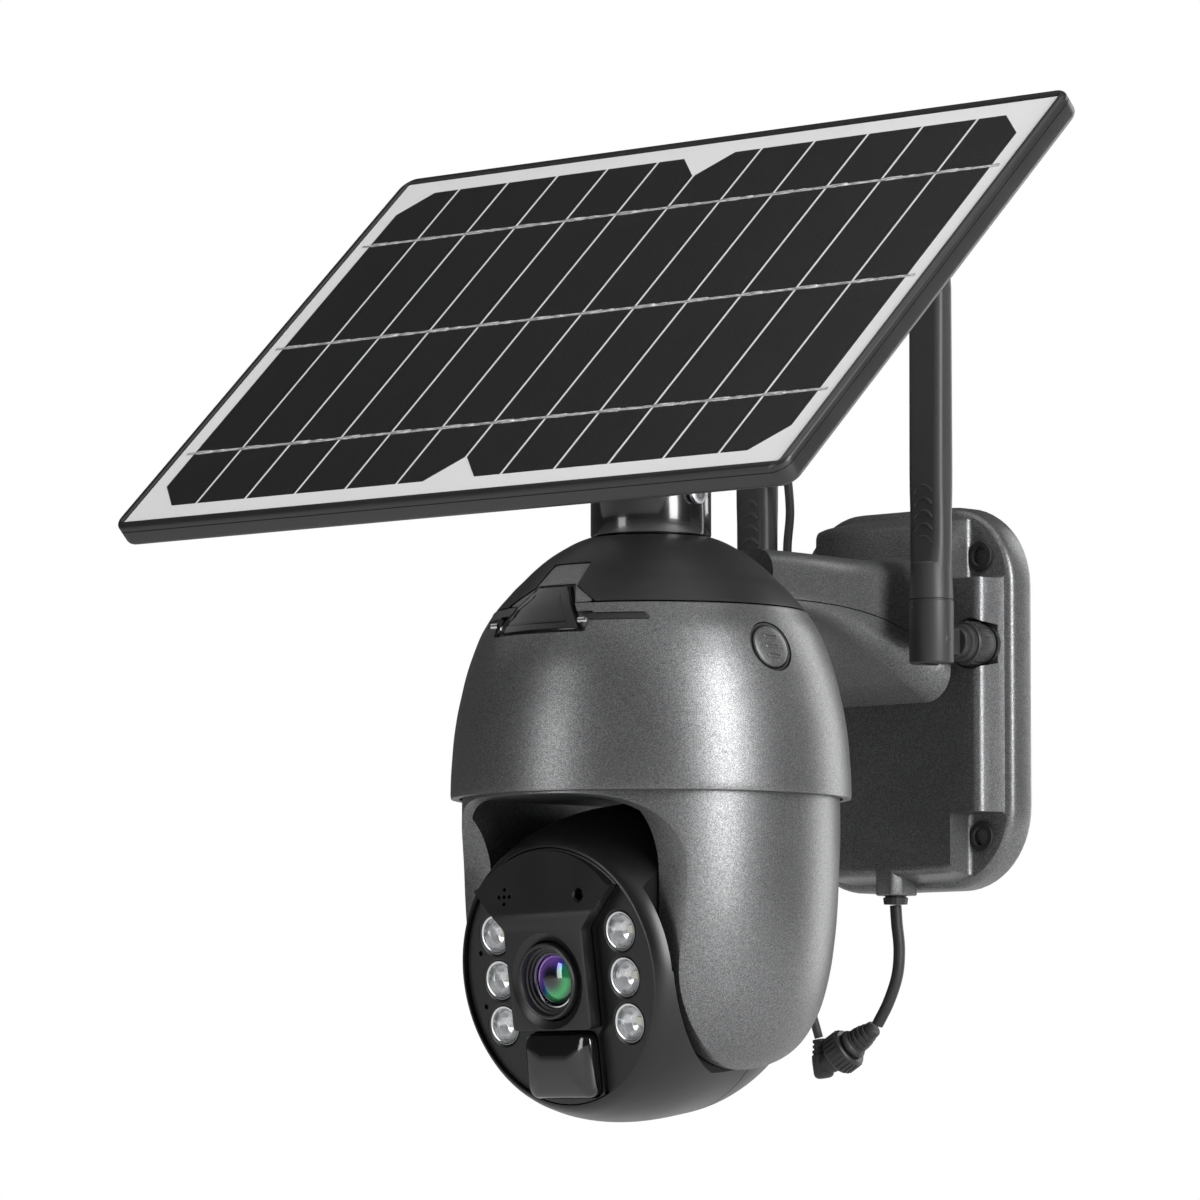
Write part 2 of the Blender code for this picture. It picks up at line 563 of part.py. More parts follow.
def build_head():
    """The tilting head: two shells, face, lens, lamps, sensor window and trunnions."""
    head = empty("head_axes", (0, AXIS_Y, TILT_Z), (HEAD_DROP, 0, 0))
    forward = (90, 0, 0)
    profile = [(radius, d) for d, radius in HEAD]

    def outer(name, look=None):
        return turned(name, [(0, HEAD[0][0])] + profile, (0, 0, 0), look, parent=head, turn=forward)

    inner_points = [(radius - HEAD_WALL, min(d, 41.2)) for radius, d in profile[:-2]]
    inner = turned("head_inner", [(0, 41.2)] + inner_points + [(0, -48.6)], (0, 0, 0), parent=head, turn=forward)
    front_seat = rod("face_seat", FACE_R + GAP, 8.0, (0, -(FACE_D - 3.6 + 4.0), 0), parent=head, turn=forward,
                     sides=ROUND)
    reliefs = []
    for sign, name in ((-1, "left"), (1, "right")):
        reliefs.append(rod(f"head_relief_{name}", RELIEF_R, 30, (sign * (HEAD_FLAT_X + 15), 0, 0), parent=head,
                           turn=(0, 90, 0), sides=32))
        reliefs.append(rod(f"trunnion_cut_{name}", TRUNNION_R + GAP, 12, (sign * 34.0, 0, 0), parent=head,
                           turn=(0, 90, 0)))
        reliefs.append(block(f"head_top_relief_{name}", (30, 100, 60), (sign * (HEAD_FLAT_X + 15), 50 - TOP_RELIEF_D,
                                                                        30), parent=head))
        cut(inner, block(f"head_top_core_{name}", (30, 100, 60), (
            sign * (HEAD_FLAT_X + 15 - HEAD_WALL), 50 - TOP_RELIEF_D - HEAD_WALL, 30 - HEAD_WALL), parent=head))
        core = rod(f"head_inner_cut_{name}", RELIEF_R + HEAD_WALL, 30, (sign * (HEAD_FLAT_X + 15 - HEAD_WALL), 0, 0),
                   parent=head, turn=(0, 90, 0), sides=32)
        cut(inner, core)
    shell = outer("head_front", MATT_BLACK)
    cut(shell, inner, front_seat, *reliefs, block("head_rear_room", (120, 60, 120), (0, 30 - HEAD_SPLIT, 0),
                                                  parent=head))
    rear = outer("head_rear", MATT_BLACK)
    cut(rear, inner, *reliefs, block("head_front_room", (120, 60, 120), (0, -30 - HEAD_SPLIT + GAP, 0), parent=head))
    build_face(head)
    for sign, name in ((-1, "left"), (1, "right")):
        trunnion = rod(f"trunnion_{name}", TRUNNION_R, 13.2, (sign * 39.7, 0, 0), MATT_BLACK, parent=head,
                       turn=(0, 90, 0), sides=24)
        join(trunnion, rod(f"trunnion_flange_{name}", 11.5, 1.6, (sign * 33.0, 0, 0), parent=head, turn=(0, 90, 0)))
    turn = (90, 0, -90)
    prism("tilt_gear", [gear_outline(TILT_GEAR_TEETH, 0.8, TILT_GEAR_PHASE), circle(TRUNNION_R + GAP + 0.1, 24)], 2.6,
          (-43.2, 0, 0), WHITE, turn=turn, parent=head)
    pinion_z = TILT_Z + 16.0
    prism("tilt_pinion", [gear_outline(10, 0.8, tilt_pinion_phase())], 2.4, (-43.2, AXIS_Y, pinion_z), BRASS,
          turn=turn)
    rod("tilt_motor", 6.6, 3.2, (-46.5, AXIS_Y, pinion_z), STEEL, turn=(0, 90, 0))


def tilt_pinion_phase():
    """Turn the tilt pinion so that its teeth stand in the gear's gaps at rest."""
    return ((90.0 + HEAD_DROP) / 360 * TILT_GEAR_TEETH - TILT_GEAR_PHASE) % 1.0


def build_face(head):
    """The round face with its stepped middle, lens, six lamps, sensor window and small holes."""
    forward = (90, 0, 0)

    def facing(kind, name, *sizes, x=0.0, w=0.0, d=0.0, look=None, **more):
        return kind(name, *sizes, (x, -d, w), look, parent=head, turn=forward, **more)

    face = facing(rod, "face_plate", FACE_R, 3.0, d=FACE_D - 1.5, look=MATT_BLACK, sides=ROUND)
    for sign, side in ((-1, "left"), (1, "right")):
        zone = [(sign * 17.6, 15.5), (sign * 31.5, 29.5), (sign * 60.0, 29.5), (sign * 60.0, -50.0),
                (sign * 15.5, -50.0), (sign * 15.5, -19.0), (sign * 17.6, -16.5)]
        cut(face, facing(prism, f"lamp_zone_{side}", [zone[::-sign]], 6.0, d=FACE_D + 1.4))
    middle = [(-17.2, -16.9), (17.2, -16.9), (17.2, 15.6), (30.5, 29.0)]
    middle += [(41.0 * math.sin(math.radians(a)), 41.0 * math.cos(math.radians(a)))
               for a in (38, 26, 13, 0, -13, -26, -38)]
    middle += [(-30.5, 29.0), (-17.2, 15.6)]
    panel = facing(prism, "face_raised", [middle], 5.0, d=FACE_D + 2.8, look=MATT_BLACK)
    slope = loft("raised_slope", [[(x, -(FACE_D + d), w) for d, w in ((5.5, 19.0), (1.3, 42.0), (12.0, 42.0),
                                                                      (12.0, 19.0))] for x in (-60, 60)], parent=head)
    cut(panel, slope,
        facing(rod, "lens_hole", 12.9, 20, w=-1.0, d=FACE_D, sides=32),
        facing(rod, "light_sensor_hole", 2.2, 20, x=16.4, w=26, d=FACE_D + 4, sides=12),
        facing(rod, "mic_hole", 1.0, 20, x=-16.4, w=26, d=FACE_D + 4, sides=8))
    cut(face, facing(rod, "barrel_hole", 12.9, 20, w=-1.0, d=FACE_D, sides=32))
    facing(turned, "lens_barrel", [(12.5, 5.9), (12.5, -18.0), (8.6, -18.0), (8.6, 2.2), (11.2, 4.9)], w=-1.0,
           d=FACE_D, look=MATT_BLACK, sides=32, closed=True)
    facing(turned, "lens_glass", [(0, 3.6), (4.5, 2.9), (8.2, 1.0), (8.2, -2.4), (0, -2.4)], w=-1.0, d=FACE_D,
           look=LENS, sides=28)
    number = 0
    for sign in (-1, 1):
        for w in LED_W:
            number += 1
            cut(face, facing(rod, f"lamp_hole_{number}", 6.6, 12, x=sign * LED_X, w=w, d=FACE_D, sides=24))
            facing(turned, f"lamp_{number}", [(0, 1.6), (2.6, 1.2), (4.6, -0.4), (5.4, -1.2), (5.4, -5.0), (0, -5.0)],
                   x=sign * LED_X, w=w, d=FACE_D - 2.4, look=CLEAR, sides=20)
    board = facing(prism, "lamp_board", [circle(37.0, 32), rounded(16, 16, 4, 3)], 1.4, d=FACE_D - 8.6, look=BOARD)
    keep(board, block("lamp_board_trim", (66.6, 20, 80), (0, -(FACE_D - 8.6), 0), parent=head))
    window = loft("sensor_window", [
        [(x, -(FACE_D + d), w) for x, w in rounded(14.6 - inset, 10.6 - inset, 3.5 - inset * 0.4, 4, (0, -28.6))]
        for d, inset in ((-2.6, 0.0), (3.0, 0.0), (4.6, 0.5), (5.6, 1.6), (6.0, 3.4))], GLOSS_BLACK, parent=head)
    cut(face, facing(prism, "window_hole", [rounded(15.0, 11.0, 3.7, 4, (0, -28.6))], 12, d=FACE_D))
    keep(window, facing(rod, "window_trim", FACE_R - GAP, 30, d=FACE_D, sides=ROUND))


# ---------------------------------------------------------------- solar panel


def build_panel():
    """The swivel post, the tilt knuckle and the solar panel with its frame and cable box."""
    swivel = empty("swivel_axes", (0, AXIS_Y, 0), (0, 0, PANEL_SWIVEL))
    post = turned("swivel_post", [(0, 71.0), (18.6, 71.0), (19.6, 70.0), (19.6, NECK_TOP + GAP),
                                  (NECK_BORE - GAP, NECK_TOP + GAP), (NECK_BORE - GAP, 49.0), (0, 49.0)],
                  (0, 0, 0), MATT_BLACK, parent=swivel, sides=36)
    for sx in (-1, 1):
        side = "right" if sx > 0 else "left"
        ear = prism(f"post_ear_{side}", [[(-9, -12), (9, -12)] + [
            (9 * math.cos(math.radians(a)), 9 * math.sin(math.radians(a))) for a in range(0, 181, 20)]], 4.0,
            (sx * 9.4, 0, PANEL_PIVOT_Z), parent=swivel, turn=(90, 0, 90))
        join(post, ear)
    cut(post, rod("post_bolt_hole", 3.2, 40, (0, 0, PANEL_PIVOT_Z), parent=swivel, turn=(0, 90, 0), sides=16))
    panel = empty("panel_axes", (0, 0, PANEL_PIVOT_Z), (PANEL_TILT, 0, 0), parent=swivel)
    face = PANEL_FACE
    underside = face - LAMINATE - GAP

    outline = rounded(PANEL_L / 2, PANEL_W / 2, PANEL_CORNER, 6)
    opening = rounded(PANEL_L / 2 - FRAME_LIP, PANEL_W / 2 - FRAME_LIP, 0.4, 1)
    frame = prism("panel_frame", [outline, opening], FRAME_H, (0, PANEL_SHIFT, face + 0.8 - FRAME_H / 2),
                  MATT_BLACK, parent=panel)
    bevel = frame.modifiers.new("rounding", "BEVEL")
    bevel.width = 1.3 * MM
    bevel.segments = 2
    bevel.limit_method = "ANGLE"
    bevel.angle_limit = math.radians(60)
    inner_l, inner_w = PANEL_L / 2 - FRAME_LIP - GAP, PANEL_W / 2 - FRAME_LIP - GAP
    block("panel_laminate", (2 * inner_l, 2 * inner_w, LAMINATE), (0, PANEL_SHIFT, face - LAMINATE / 2), CELL,
          parent=panel)

    bracket = prism("panel_bracket", [rounded(32, 30, 6, 4)], 2.6, (0, 0, underside - 1.3), MATT_BLACK, parent=panel)
    tongue = prism("bracket_tongue", [[(underside - 2.0, -10.0), (underside - 2.0, 10.0)] + [
        (8.4 * math.cos(math.radians(a)), 8.4 * math.sin(math.radians(a))) for a in range(90, 271, 20)]], 13.6,
        (0, 0, 0), parent=panel, turn=(0, -90, 0))
    join(bracket, tongue)
    cut(bracket, rod("tongue_bore", 3.2, 30, (0, 0, 0), parent=panel, turn=(0, 90, 0), sides=16))
    bolt = rod("tilt_bolt", 2.8, 27.0, (0.5, 0, PANEL_PIVOT_Z), STEEL, parent=swivel, turn=(0, 90, 0), sides=16)
    join(bolt, rod("tilt_bolt_head", 5.4, 4.0, (13.8, 0, PANEL_PIVOT_Z), parent=swivel, turn=(0, 90, 0), sides=6))
    knob = rod("tilt_knob", 8.0, 6.0, (-16.4, 0, PANEL_PIVOT_Z), MATT_BLACK, parent=swivel, turn=(0, 90, 0), sides=12)
    cut(knob, rod("knob_bore", 3.1, 20, (-16.4, 0, PANEL_PIVOT_Z), parent=swivel, turn=(0, 90, 0), sides=16))

    box_y = 58.0
    box = block("junction_box", (46, 34, 13.0), (0, box_y, underside - 6.5), MATT_BLACK, parent=panel)
    join(box, turned("panel_gland", [(0, 8.0), (3.6, 8.0), (3.6, 2.5), (2.4, -6.0), (0, -6.0)],
                     (-29.0, box_y, underside - 6.5), parent=panel, turn=(0, 90, 0), sides=14))


# ---------------------------------------------------------------- aerials and cords


def build_aerial(side, sign):
    """A paddle aerial: fixed socket, nut and elbow tongue, and the folding blade on its pin."""
    x = sign * AERIAL_X
    toward = (90, 0, 0)
    turned(f"aerial_socket_{side}", [(0, 15.8), (3.2, 15.8), (3.2, 15.2), (6.6, 15.2), (6.6, 13.85),
                                     (3.2, 13.85), (3.2, 9.8), (0, 9.8)],
           (x, 0, AERIAL_Z), BRASS, turn=toward, sides=20)
    elbow = turned(f"aerial_nut_{side}", [(0, 30.0), (5.2, 30.0), (5.2, 27.6), (6.2, 27.2), (6.2, 25.2), (7.2, 24.8),
                                          (7.2, 18.6), (6.6, 16.2), (0, 16.2)],
                   (x, 0, AERIAL_Z), MATT_BLACK, turn=toward, sides=18)
    tongue = [(-13.0, -4.4)] + [(4.4 * math.cos(math.radians(a)), 4.4 * math.sin(math.radians(a)))
                                for a in range(-90, 91, 20)] + [(-13.0, 4.4)]
    join(elbow, prism(f"elbow_tongue_{side}", [tongue], 4.6, (x, AERIAL_Y, AERIAL_Z), turn=(90, 0, -90)))
    blade = turned(f"aerial_blade_{side}", [(0, 26.0), (6.9, 26.0), (7.5, 13.6), (7.5, -7.4), (7.0, -8.0), (0, -8.0)],
                   (x, AERIAL_Y, AERIAL_Z), MATT_BLACK, sides=20)
    paddle = loft(f"paddle_{side}", [
        [(px, py, z) for px, py in rounded(half_x, half_y, radius, 3)]
        for z, half_x, half_y, radius in ((20.0, 6.9, 6.0, 5.8), (30.0, 7.2, 5.2, 4.0), (44.0, 7.2, 4.4, 3.0),
                                          (118.0, 7.3, 4.0, 2.6), (124.0, 6.6, 3.6, 2.4), (126.0, 5.4, 2.6, 2.0))],
        place=(x, AERIAL_Y, AERIAL_Z))
    slot = block(f"elbow_slot_{side}", (5.4, 30.0, 21.3), (x, AERIAL_Y + 9.9, AERIAL_Z - 4.35))
    join(blade, paddle)
    cut(blade, slot)
    pin = rod(f"aerial_pin_{side}", 1.3, 14.0, (x, AERIAL_Y, AERIAL_Z), turn=(0, 90, 0), sides=12)
    bore = rod(f"aerial_pin_bore_{side}", 1.65, 30, (x, AERIAL_Y, AERIAL_Z), turn=(0, 90, 0), sides=12)
    join(blade, pin)
    cut(elbow, bore)


# Cord routes, in millimetres: straight out of each exit, then hanging
PIGTAIL_R = 2.0
LEAD_R = 1.5
PIGTAIL = ((0.0, -15.5, -69.8), (0.6, -15.6, -76.0), (1.8, -15.8, -84.5), (1.2, -16.2, -93.5), (-2.2, -16.8, -102.5),
           (-6.8, -17.3, -110.0))
SOCKET_END = (-7.2, -17.4, -110.7)
PLUG_END = (-28.6, -20.6, -124.2)
LEAD = ((-30.2, -20.9, -114.2), (-31.6, -23.4, -104.0), (-32.6, -26.8, -88.0), (-32.0, -28.4, -64.0),
        (-31.0, -28.8, -30.0), (-29.6, -30.6, 0.0), (-28.9, -34.0, 20.0), (-28.6, -37.6, 38.0),
        (-27.2, -39.8, 52.0), (-24.2, -41.8, 66.0), (-22.8, -47.0, 82.0), (-24.8, -57.0, 97.0), (-27.4, -64.5, 105.0))
LEAD_LOOP = ((-28.0, -65.9, 106.2), (-29.4, -78.0, 114.5), (-30.6, -91.0, 122.2), (-38.0, -103.0, 131.6),
             (-44.4, -112.8, 141.2), (-43.6, -119.8, 148.0), (-35.9, -122.8, 149.4))


def build_cords():
    """The pigtail with its socket, the solar lead with its angled plug, and the coupling nut."""
    tube("pigtail_cord", PIGTAIL, PIGTAIL_R, RUBBER)
    start, end = Vector(SOCKET_END), Vector(PLUG_END)
    along = (end - start).normalized()
    length = (end - start).length
    turn = along.to_track_quat("Z", "Y").to_euler()
    degrees = [math.degrees(angle) for angle in turn]

    def along_axis(name, profile, look, sides=16):
        return turned(name, profile, SOCKET_END, look, turn=degrees, sides=sides)

    along_axis("pigtail_socket", [(0, 12.0), (5.2, 12.0), (5.2, 10.4), (4.3, 9.8), (4.3, 6.4), (3.4, 5.8),
                                  (2.7, 0.8), (0, 0.8)], RUBBER)
    along_axis("coupling_nut", [(0, 19.4), (6.4, 19.4), (7.2, 18.4), (7.2, 13.4), (6.4, 12.4), (0, 12.4)],
               MATT_BLACK, sides=20)
    plug = along_axis("lead_plug", [(0, length + 1.0), (3.2, length + 0.6), (3.6, length - 2.0), (4.4, 20.4),
                                    (4.4, 19.8), (0, 19.8)], RUBBER)
    lift = Vector(LEAD[0]) - end
    elbow = turned("plug_elbow", [(0, lift.length - 0.6), (2.3, lift.length - 0.6), (3.5, 2.0), (3.5, -2.4),
                                  (2.6, -3.6), (0, -3.9)],
                   PLUG_END, turn=[math.degrees(a) for a in lift.to_track_quat("Z", "Y").to_euler()], sides=16)
    join(plug, elbow)
    tube("solar_lead", LEAD, LEAD_R, RUBBER)
    tube("solar_lead_loop", LEAD_LOOP, LEAD_R, RUBBER)


def main():
    """Build the camera from the wall outwards."""
    build_base()
    build_arm()
    build_housing()
    build_inside()
    build_yoke()
    build_head()
    build_panel()
    build_aerial("left", -1)
    build_aerial("right", 1)
    build_cords()


clear_scene()
PARTS = collection("security_camera")
CUTTERS = collection("cutters")
main()
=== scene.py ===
"""Looks of a wall-mounted solar security camera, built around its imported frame.

Shapes are drawn in millimetres and written in metres when a piece is finished, in the frame's own axes:
+Y into the wall, +Z up and +X to the right seen from the front. The origin is the middle of the wall
base's back.
"""

import logging
import math
from dataclasses import dataclass
from enum import Enum
from typing import Any, Callable, ClassVar, Iterable, Optional, Sequence, Union

import bmesh
import bpy
from mathutils import Matrix, Vector

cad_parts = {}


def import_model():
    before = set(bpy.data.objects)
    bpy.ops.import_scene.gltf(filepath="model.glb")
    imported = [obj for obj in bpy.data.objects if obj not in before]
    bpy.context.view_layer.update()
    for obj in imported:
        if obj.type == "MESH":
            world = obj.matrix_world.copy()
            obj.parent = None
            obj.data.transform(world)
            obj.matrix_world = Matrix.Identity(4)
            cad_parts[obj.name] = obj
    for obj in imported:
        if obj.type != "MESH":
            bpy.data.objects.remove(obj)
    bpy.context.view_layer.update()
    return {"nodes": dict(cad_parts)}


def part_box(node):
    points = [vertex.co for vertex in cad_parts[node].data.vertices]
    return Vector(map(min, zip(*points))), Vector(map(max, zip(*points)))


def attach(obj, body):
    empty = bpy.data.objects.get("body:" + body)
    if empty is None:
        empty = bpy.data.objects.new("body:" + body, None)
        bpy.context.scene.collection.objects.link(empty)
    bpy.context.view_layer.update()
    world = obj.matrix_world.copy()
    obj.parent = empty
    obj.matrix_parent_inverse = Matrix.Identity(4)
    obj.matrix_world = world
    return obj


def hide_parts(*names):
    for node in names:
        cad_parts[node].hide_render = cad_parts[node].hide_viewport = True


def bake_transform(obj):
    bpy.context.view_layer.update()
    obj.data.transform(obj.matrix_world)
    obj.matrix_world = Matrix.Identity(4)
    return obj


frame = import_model()

log = logging.getLogger("solar_camera")

Point2 = tuple[float, float]
Point3 = tuple[float, float, float]
Colour = tuple[float, float, float]

MM = 0.001
AXIS_Y = -137.0
RIM_Z = -38.6
TILT_Z = -90.6
PIVOT_Z = 80.0
HEAD_DROP = 8.5
PANEL_SWIVEL = 0.0
PANEL_TILT = 43.5
PANEL_SHIFT = 2.7


class Body(Enum):
    """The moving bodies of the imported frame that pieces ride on."""

    FIXED = "fixed_body"
    YOKE = "pan_yoke"
    HEAD = "tilt_head"
    SWIVEL = "panel_swivel"
    PANEL = "solar_panel"
    NUT_LEFT = "aerial_swivel_left"
    NUT_RIGHT = "aerial_swivel_right"
    AERIAL_LEFT = "aerial_left"
    AERIAL_RIGHT = "aerial_right"
    BUTTON = "call_button"
    FLAP = "slot_cover"


class Operation(Enum):
    """The three ways two solids combine."""

    CUT = "DIFFERENCE"
    JOIN = "UNION"
    KEEP = "INTERSECT"


class Side(Enum):
    """Left and right as seen from the front, with the sign of X."""

    LEFT = -1
    RIGHT = 1

    @property
    def word(self) -> str:
        """The side's name in lower case."""
        return self.name.lower()


# ---------------------------------------------------------------- shader maths


Input = Union[float, int, tuple, "Value", bpy.types.NodeSocket]


class Value:
    """A number that changes over a surface: a node socket with arithmetic."""

    def __init__(self, shade: "Shade", socket: bpy.types.NodeSocket) -> None:
        """Wrap one output socket of a material's tree."""
        self.shade = shade
        self.socket = socket

    def _maths(self, operation: str, *operands: Input) -> "Value":
        """Add a Math node.

        Args:
            operation: The node's operation.
            operands: Its inputs in order.

        Returns:
            The node's output.
        """
        made = self.shade.node("ShaderNodeMath", {"operation": operation}, dict(enumerate(operands)))
        return Value(self.shade, made.outputs[0])

    def __add__(self, other: Input) -> "Value":
        """Sum."""
        return self._maths("ADD", self, other)

    def __radd__(self, other: Input) -> "Value":
        """Sum with a plain number on the left."""
        return self._maths("ADD", other, self)

    def __sub__(self, other: Input) -> "Value":
        """Difference."""
        return self._maths("SUBTRACT", self, other)

    def __rsub__(self, other: Input) -> "Value":
        """Difference from a plain number."""
        return self._maths("SUBTRACT", other, self)

    def __mul__(self, other: Input) -> "Value":
        """Product."""
        return self._maths("MULTIPLY", self, other)

    def __rmul__(self, other: Input) -> "Value":
        """Product with a plain number on the left."""
        return self._maths("MULTIPLY", other, self)

    def __truediv__(self, other: Input) -> "Value":
        """Quotient."""
        return self._maths("DIVIDE", self, other)

    def __gt__(self, other: Input) -> "Value":
        """One where greater, else zero."""
        return self._maths("GREATER_THAN", self, other)

    def __lt__(self, other: Input) -> "Value":
        """One where less, else zero."""
        return self._maths("LESS_THAN", self, other)

    def __abs__(self) -> "Value":
        """Size without sign."""
        return self._maths("ABSOLUTE", self)

    def fraction(self) -> "Value":
        """What is left after the whole number."""
        return self._maths("FRACT", self)

    def smooth(self, low: float, high: float) -> "Value":
        """Go from 0 at low to 1 at high with soft ends."""
        made = self.shade.node("ShaderNodeMapRange", {"interpolation_type": "SMOOTHSTEP"},
                               {"Value": self, "From Min": low, "From Max": high})
        return Value(self.shade, made.outputs["Result"])


class Shade:
    """One material's node tree, with a single way to add a node."""

    def __init__(self, name: str) -> None:
        """Start an empty material of this name."""
        self.material = bpy.data.materials.new(name)
        self.material.use_nodes = True
        self.tree = self.material.node_tree
        self.tree.nodes.clear()

    def node(self, kind: str, settings: Optional[dict[str, Any]] = None,
             inputs: Optional[dict[Union[str, int], Input]] = None) -> bpy.types.Node:
        """Add a node.

        Args:
            kind: The node's type name.
            settings: Its properties, set first; "stops" gives a colour ramp's (place, colour) pairs.
            inputs: Values or links for its sockets, by name or number.

        Returns:
            The new node.
        """
        made = self.tree.nodes.new(kind)
        for key, value in (settings or {}).items():
            if key == "stops":
                ramp = made.color_ramp
                while len(ramp.elements) < len(value):
                    ramp.elements.new(1.0)
                for element, (place, colour) in zip(ramp.elements, value):
                    element.position = place
                    element.color = (*colour, 1.0)
            else:
                setattr(made, key, value)
        for key, value in (inputs or {}).items():
            socket = made.inputs[key]
            if isinstance(value, Value):
                self.tree.links.new(value.socket, socket)
            elif isinstance(value, bpy.types.NodeSocket):
                self.tree.links.new(value, socket)
            elif isinstance(value, tuple) and len(value) == 3 and socket.type == "RGBA":
                socket.default_value = (*value, 1.0)
            else:
                socket.default_value = value
        return made

    def place(self) -> bpy.types.NodeSocket:
        """The piece's own coordinates in metres."""
        return self.node("ShaderNodeTexCoord").outputs["Object"]

    def parts(self, vector: Optional[bpy.types.NodeSocket] = None) -> list[Value]:
        """The three numbers of a vector, or of the piece's own coordinates."""
        made = self.node("ShaderNodeSeparateXYZ", None, {0: vector or self.place()})
        return [Value(self, output) for output in made.outputs]

    def sheet(self) -> list[Value]:
        """The two numbers of the piece's own UV map."""
        return self.parts(self.node("ShaderNodeUVMap", {"uv_map": "sheet"}).outputs["UV"])[:2]

    def noise(self, scale: float, detail: float = 2.0, stretch: Point3 = (1.0, 1.0, 1.0)) -> Value:
        """Fractal noise from 0 to 1.

        Args:
            scale: Waves in a metre.
            detail: Octaves.
            stretch: Scale of each axis, for a grain.

        Returns:
            The noise.
        """
        mapped = self.node("ShaderNodeMapping", None, {"Vector": self.place(), "Scale": stretch})
        made = self.node("ShaderNodeTexNoise", None, {"Vector": mapped.outputs[0], "Scale": scale,
                                                      "Detail": detail})
        return Value(self, made.outputs[0])

    def flakes(self, scale: float) -> Value:
        """A random number from 0 to 1 for each small cell, as of metal flakes in paint."""
        made = self.node("ShaderNodeTexVoronoi", None, {"Vector": self.place(), "Scale": scale})
        return self.parts(made.outputs["Color"])[0]

    def colours(self, factor: Value, low: Colour, high: Colour) -> bpy.types.NodeSocket:
        """A colour between two."""
        made = self.node("ShaderNodeMix", {"data_type": "RGBA"}, {0: factor, 6: low, 7: high})
        return made.outputs[2]

    def bump(self, height: Value, depth_mm: float, strength: float = 1.0) -> bpy.types.NodeSocket:
        """A normal from a height of this depth."""
        made = self.node("ShaderNodeBump", None, {"Height": height, "Distance": depth_mm * MM,
                                                  "Strength": strength})
        return made.outputs[0]

    def surface(self, inputs: dict[Union[str, int], Input]) -> bpy.types.Material:
        """End the tree in a Principled surface.

        Args:
            inputs: Its sockets.

        Returns:
            The material.
        """
        shader = self.node("ShaderNodeBsdfPrincipled", None, inputs)
        self.node("ShaderNodeOutputMaterial", None, {0: shader.outputs[0]})
        return self.material


# ---------------------------------------------------------------- finishes


@dataclass(frozen=True)
class Finish:
    """A finish that makes its material once; each kind says how."""

    name: str
    slot: str
    made: ClassVar[dict[str, bpy.types.Material]] = {}

    def material(self) -> bpy.types.Material:
        """The finish's material, made on first use."""
        if self.name not in Finish.made:
            Finish.made[self.name] = self.dress(Shade(self.name))
        return Finish.made[self.name]

    def dress(self, shade: Shade) -> bpy.types.Material:
        """Build the nodes; each kind has its own."""
        raise NotImplementedError


@dataclass(frozen=True)
class FlakePaint(Finish):
    """Dark metallic paint: bright flakes of two sizes over a fine orange peel."""

    dark: Colour = (0.05, 0.0505, 0.0515)
    light: Colour = (0.31, 0.313, 0.318)
    roughness: float = 0.37

    def dress(self, shade: Shade) -> bpy.types.Material:
        """Build the nodes."""
        fine, coarse = shade.flakes(6400.0), shade.flakes(4200.0)
        glint = fine * fine * 0.62 + coarse * coarse * 0.38
        cloud = shade.noise(60.0, 3.0)
        peel = shade.noise(900.0, 2.0)
        return shade.surface({
            "Base Color": shade.colours(glint * (0.9 + cloud * 0.2), self.dark, self.light),
            "Metallic": 0.58 + glint * 0.2,
            "Roughness": self.roughness + cloud * 0.05 - glint * 0.08,
            "Normal": shade.bump(peel * 0.6 + fine * 0.4, 0.03, 0.4),
            "Coat Weight": 0.06,
            "Coat Roughness": 0.3,
        })


@dataclass(frozen=True)
class Moulded(Finish):
    """Moulded plastic with a spark-eroded grain and slight handling wear."""

    colour: Colour = (0.0105, 0.0105, 0.011)
    roughness: float = 0.42
    grain: float = 2600.0
    depth: float = 0.03

    def dress(self, shade: Shade) -> bpy.types.Material:
        """Build the nodes."""
        grain, cloud = shade.noise(self.grain, 2.0), shade.noise(45.0, 4.0)
        light = tuple(min(1.0, value * 1.6 + 0.002) for value in self.colour)
        return shade.surface({
            "Base Color": shade.colours(grain * 0.6 + cloud * 0.4, self.colour, light),
            "Roughness": self.roughness + (cloud - 0.5) * 0.14 + (grain - 0.5) * 0.1,
            "Normal": shade.bump(grain, self.depth, 0.6),
            "Specular IOR Level": 0.5,
        })


@dataclass(frozen=True)
class Polished(Finish):
    """Polished plastic under a clear gloss, with faint smears."""

    colour: Colour = (0.004, 0.004, 0.0045)
    roughness: float = 0.08

    def dress(self, shade: Shade) -> bpy.types.Material:
        """Build the nodes."""
        smear = shade.noise(35.0, 5.0, (1.0, 1.0, 0.35))
        dust = shade.noise(1900.0, 1.0).smooth(0.66, 0.78)
        return shade.surface({
            "Base Color": shade.colours(dust * 0.5, self.colour, (0.03, 0.03, 0.032)),
            "Roughness": self.roughness + smear * 0.08 + dust * 0.12,
            "Normal": shade.bump(smear, 0.03, 0.2),
            "Coat Weight": 0.6,
            "Coat Roughness": 0.04,
        })


@dataclass(frozen=True)
class Rubber(Finish):
    """Matt rubber or cord jacket with a fine skin."""

    colour: Colour = (0.0095, 0.0095, 0.0095)
    roughness: float = 0.55

    def dress(self, shade: Shade) -> bpy.types.Material:
        """Build the nodes."""
        skin, bloom = shade.noise(1500.0, 3.0), shade.noise(90.0, 3.0)
        return shade.surface({
            "Base Color": shade.colours(bloom, self.colour, (0.022, 0.022, 0.022)),
            "Roughness": self.roughness + (skin - 0.5) * 0.2,
            "Normal": shade.bump(skin, 0.05, 0.5),
        })


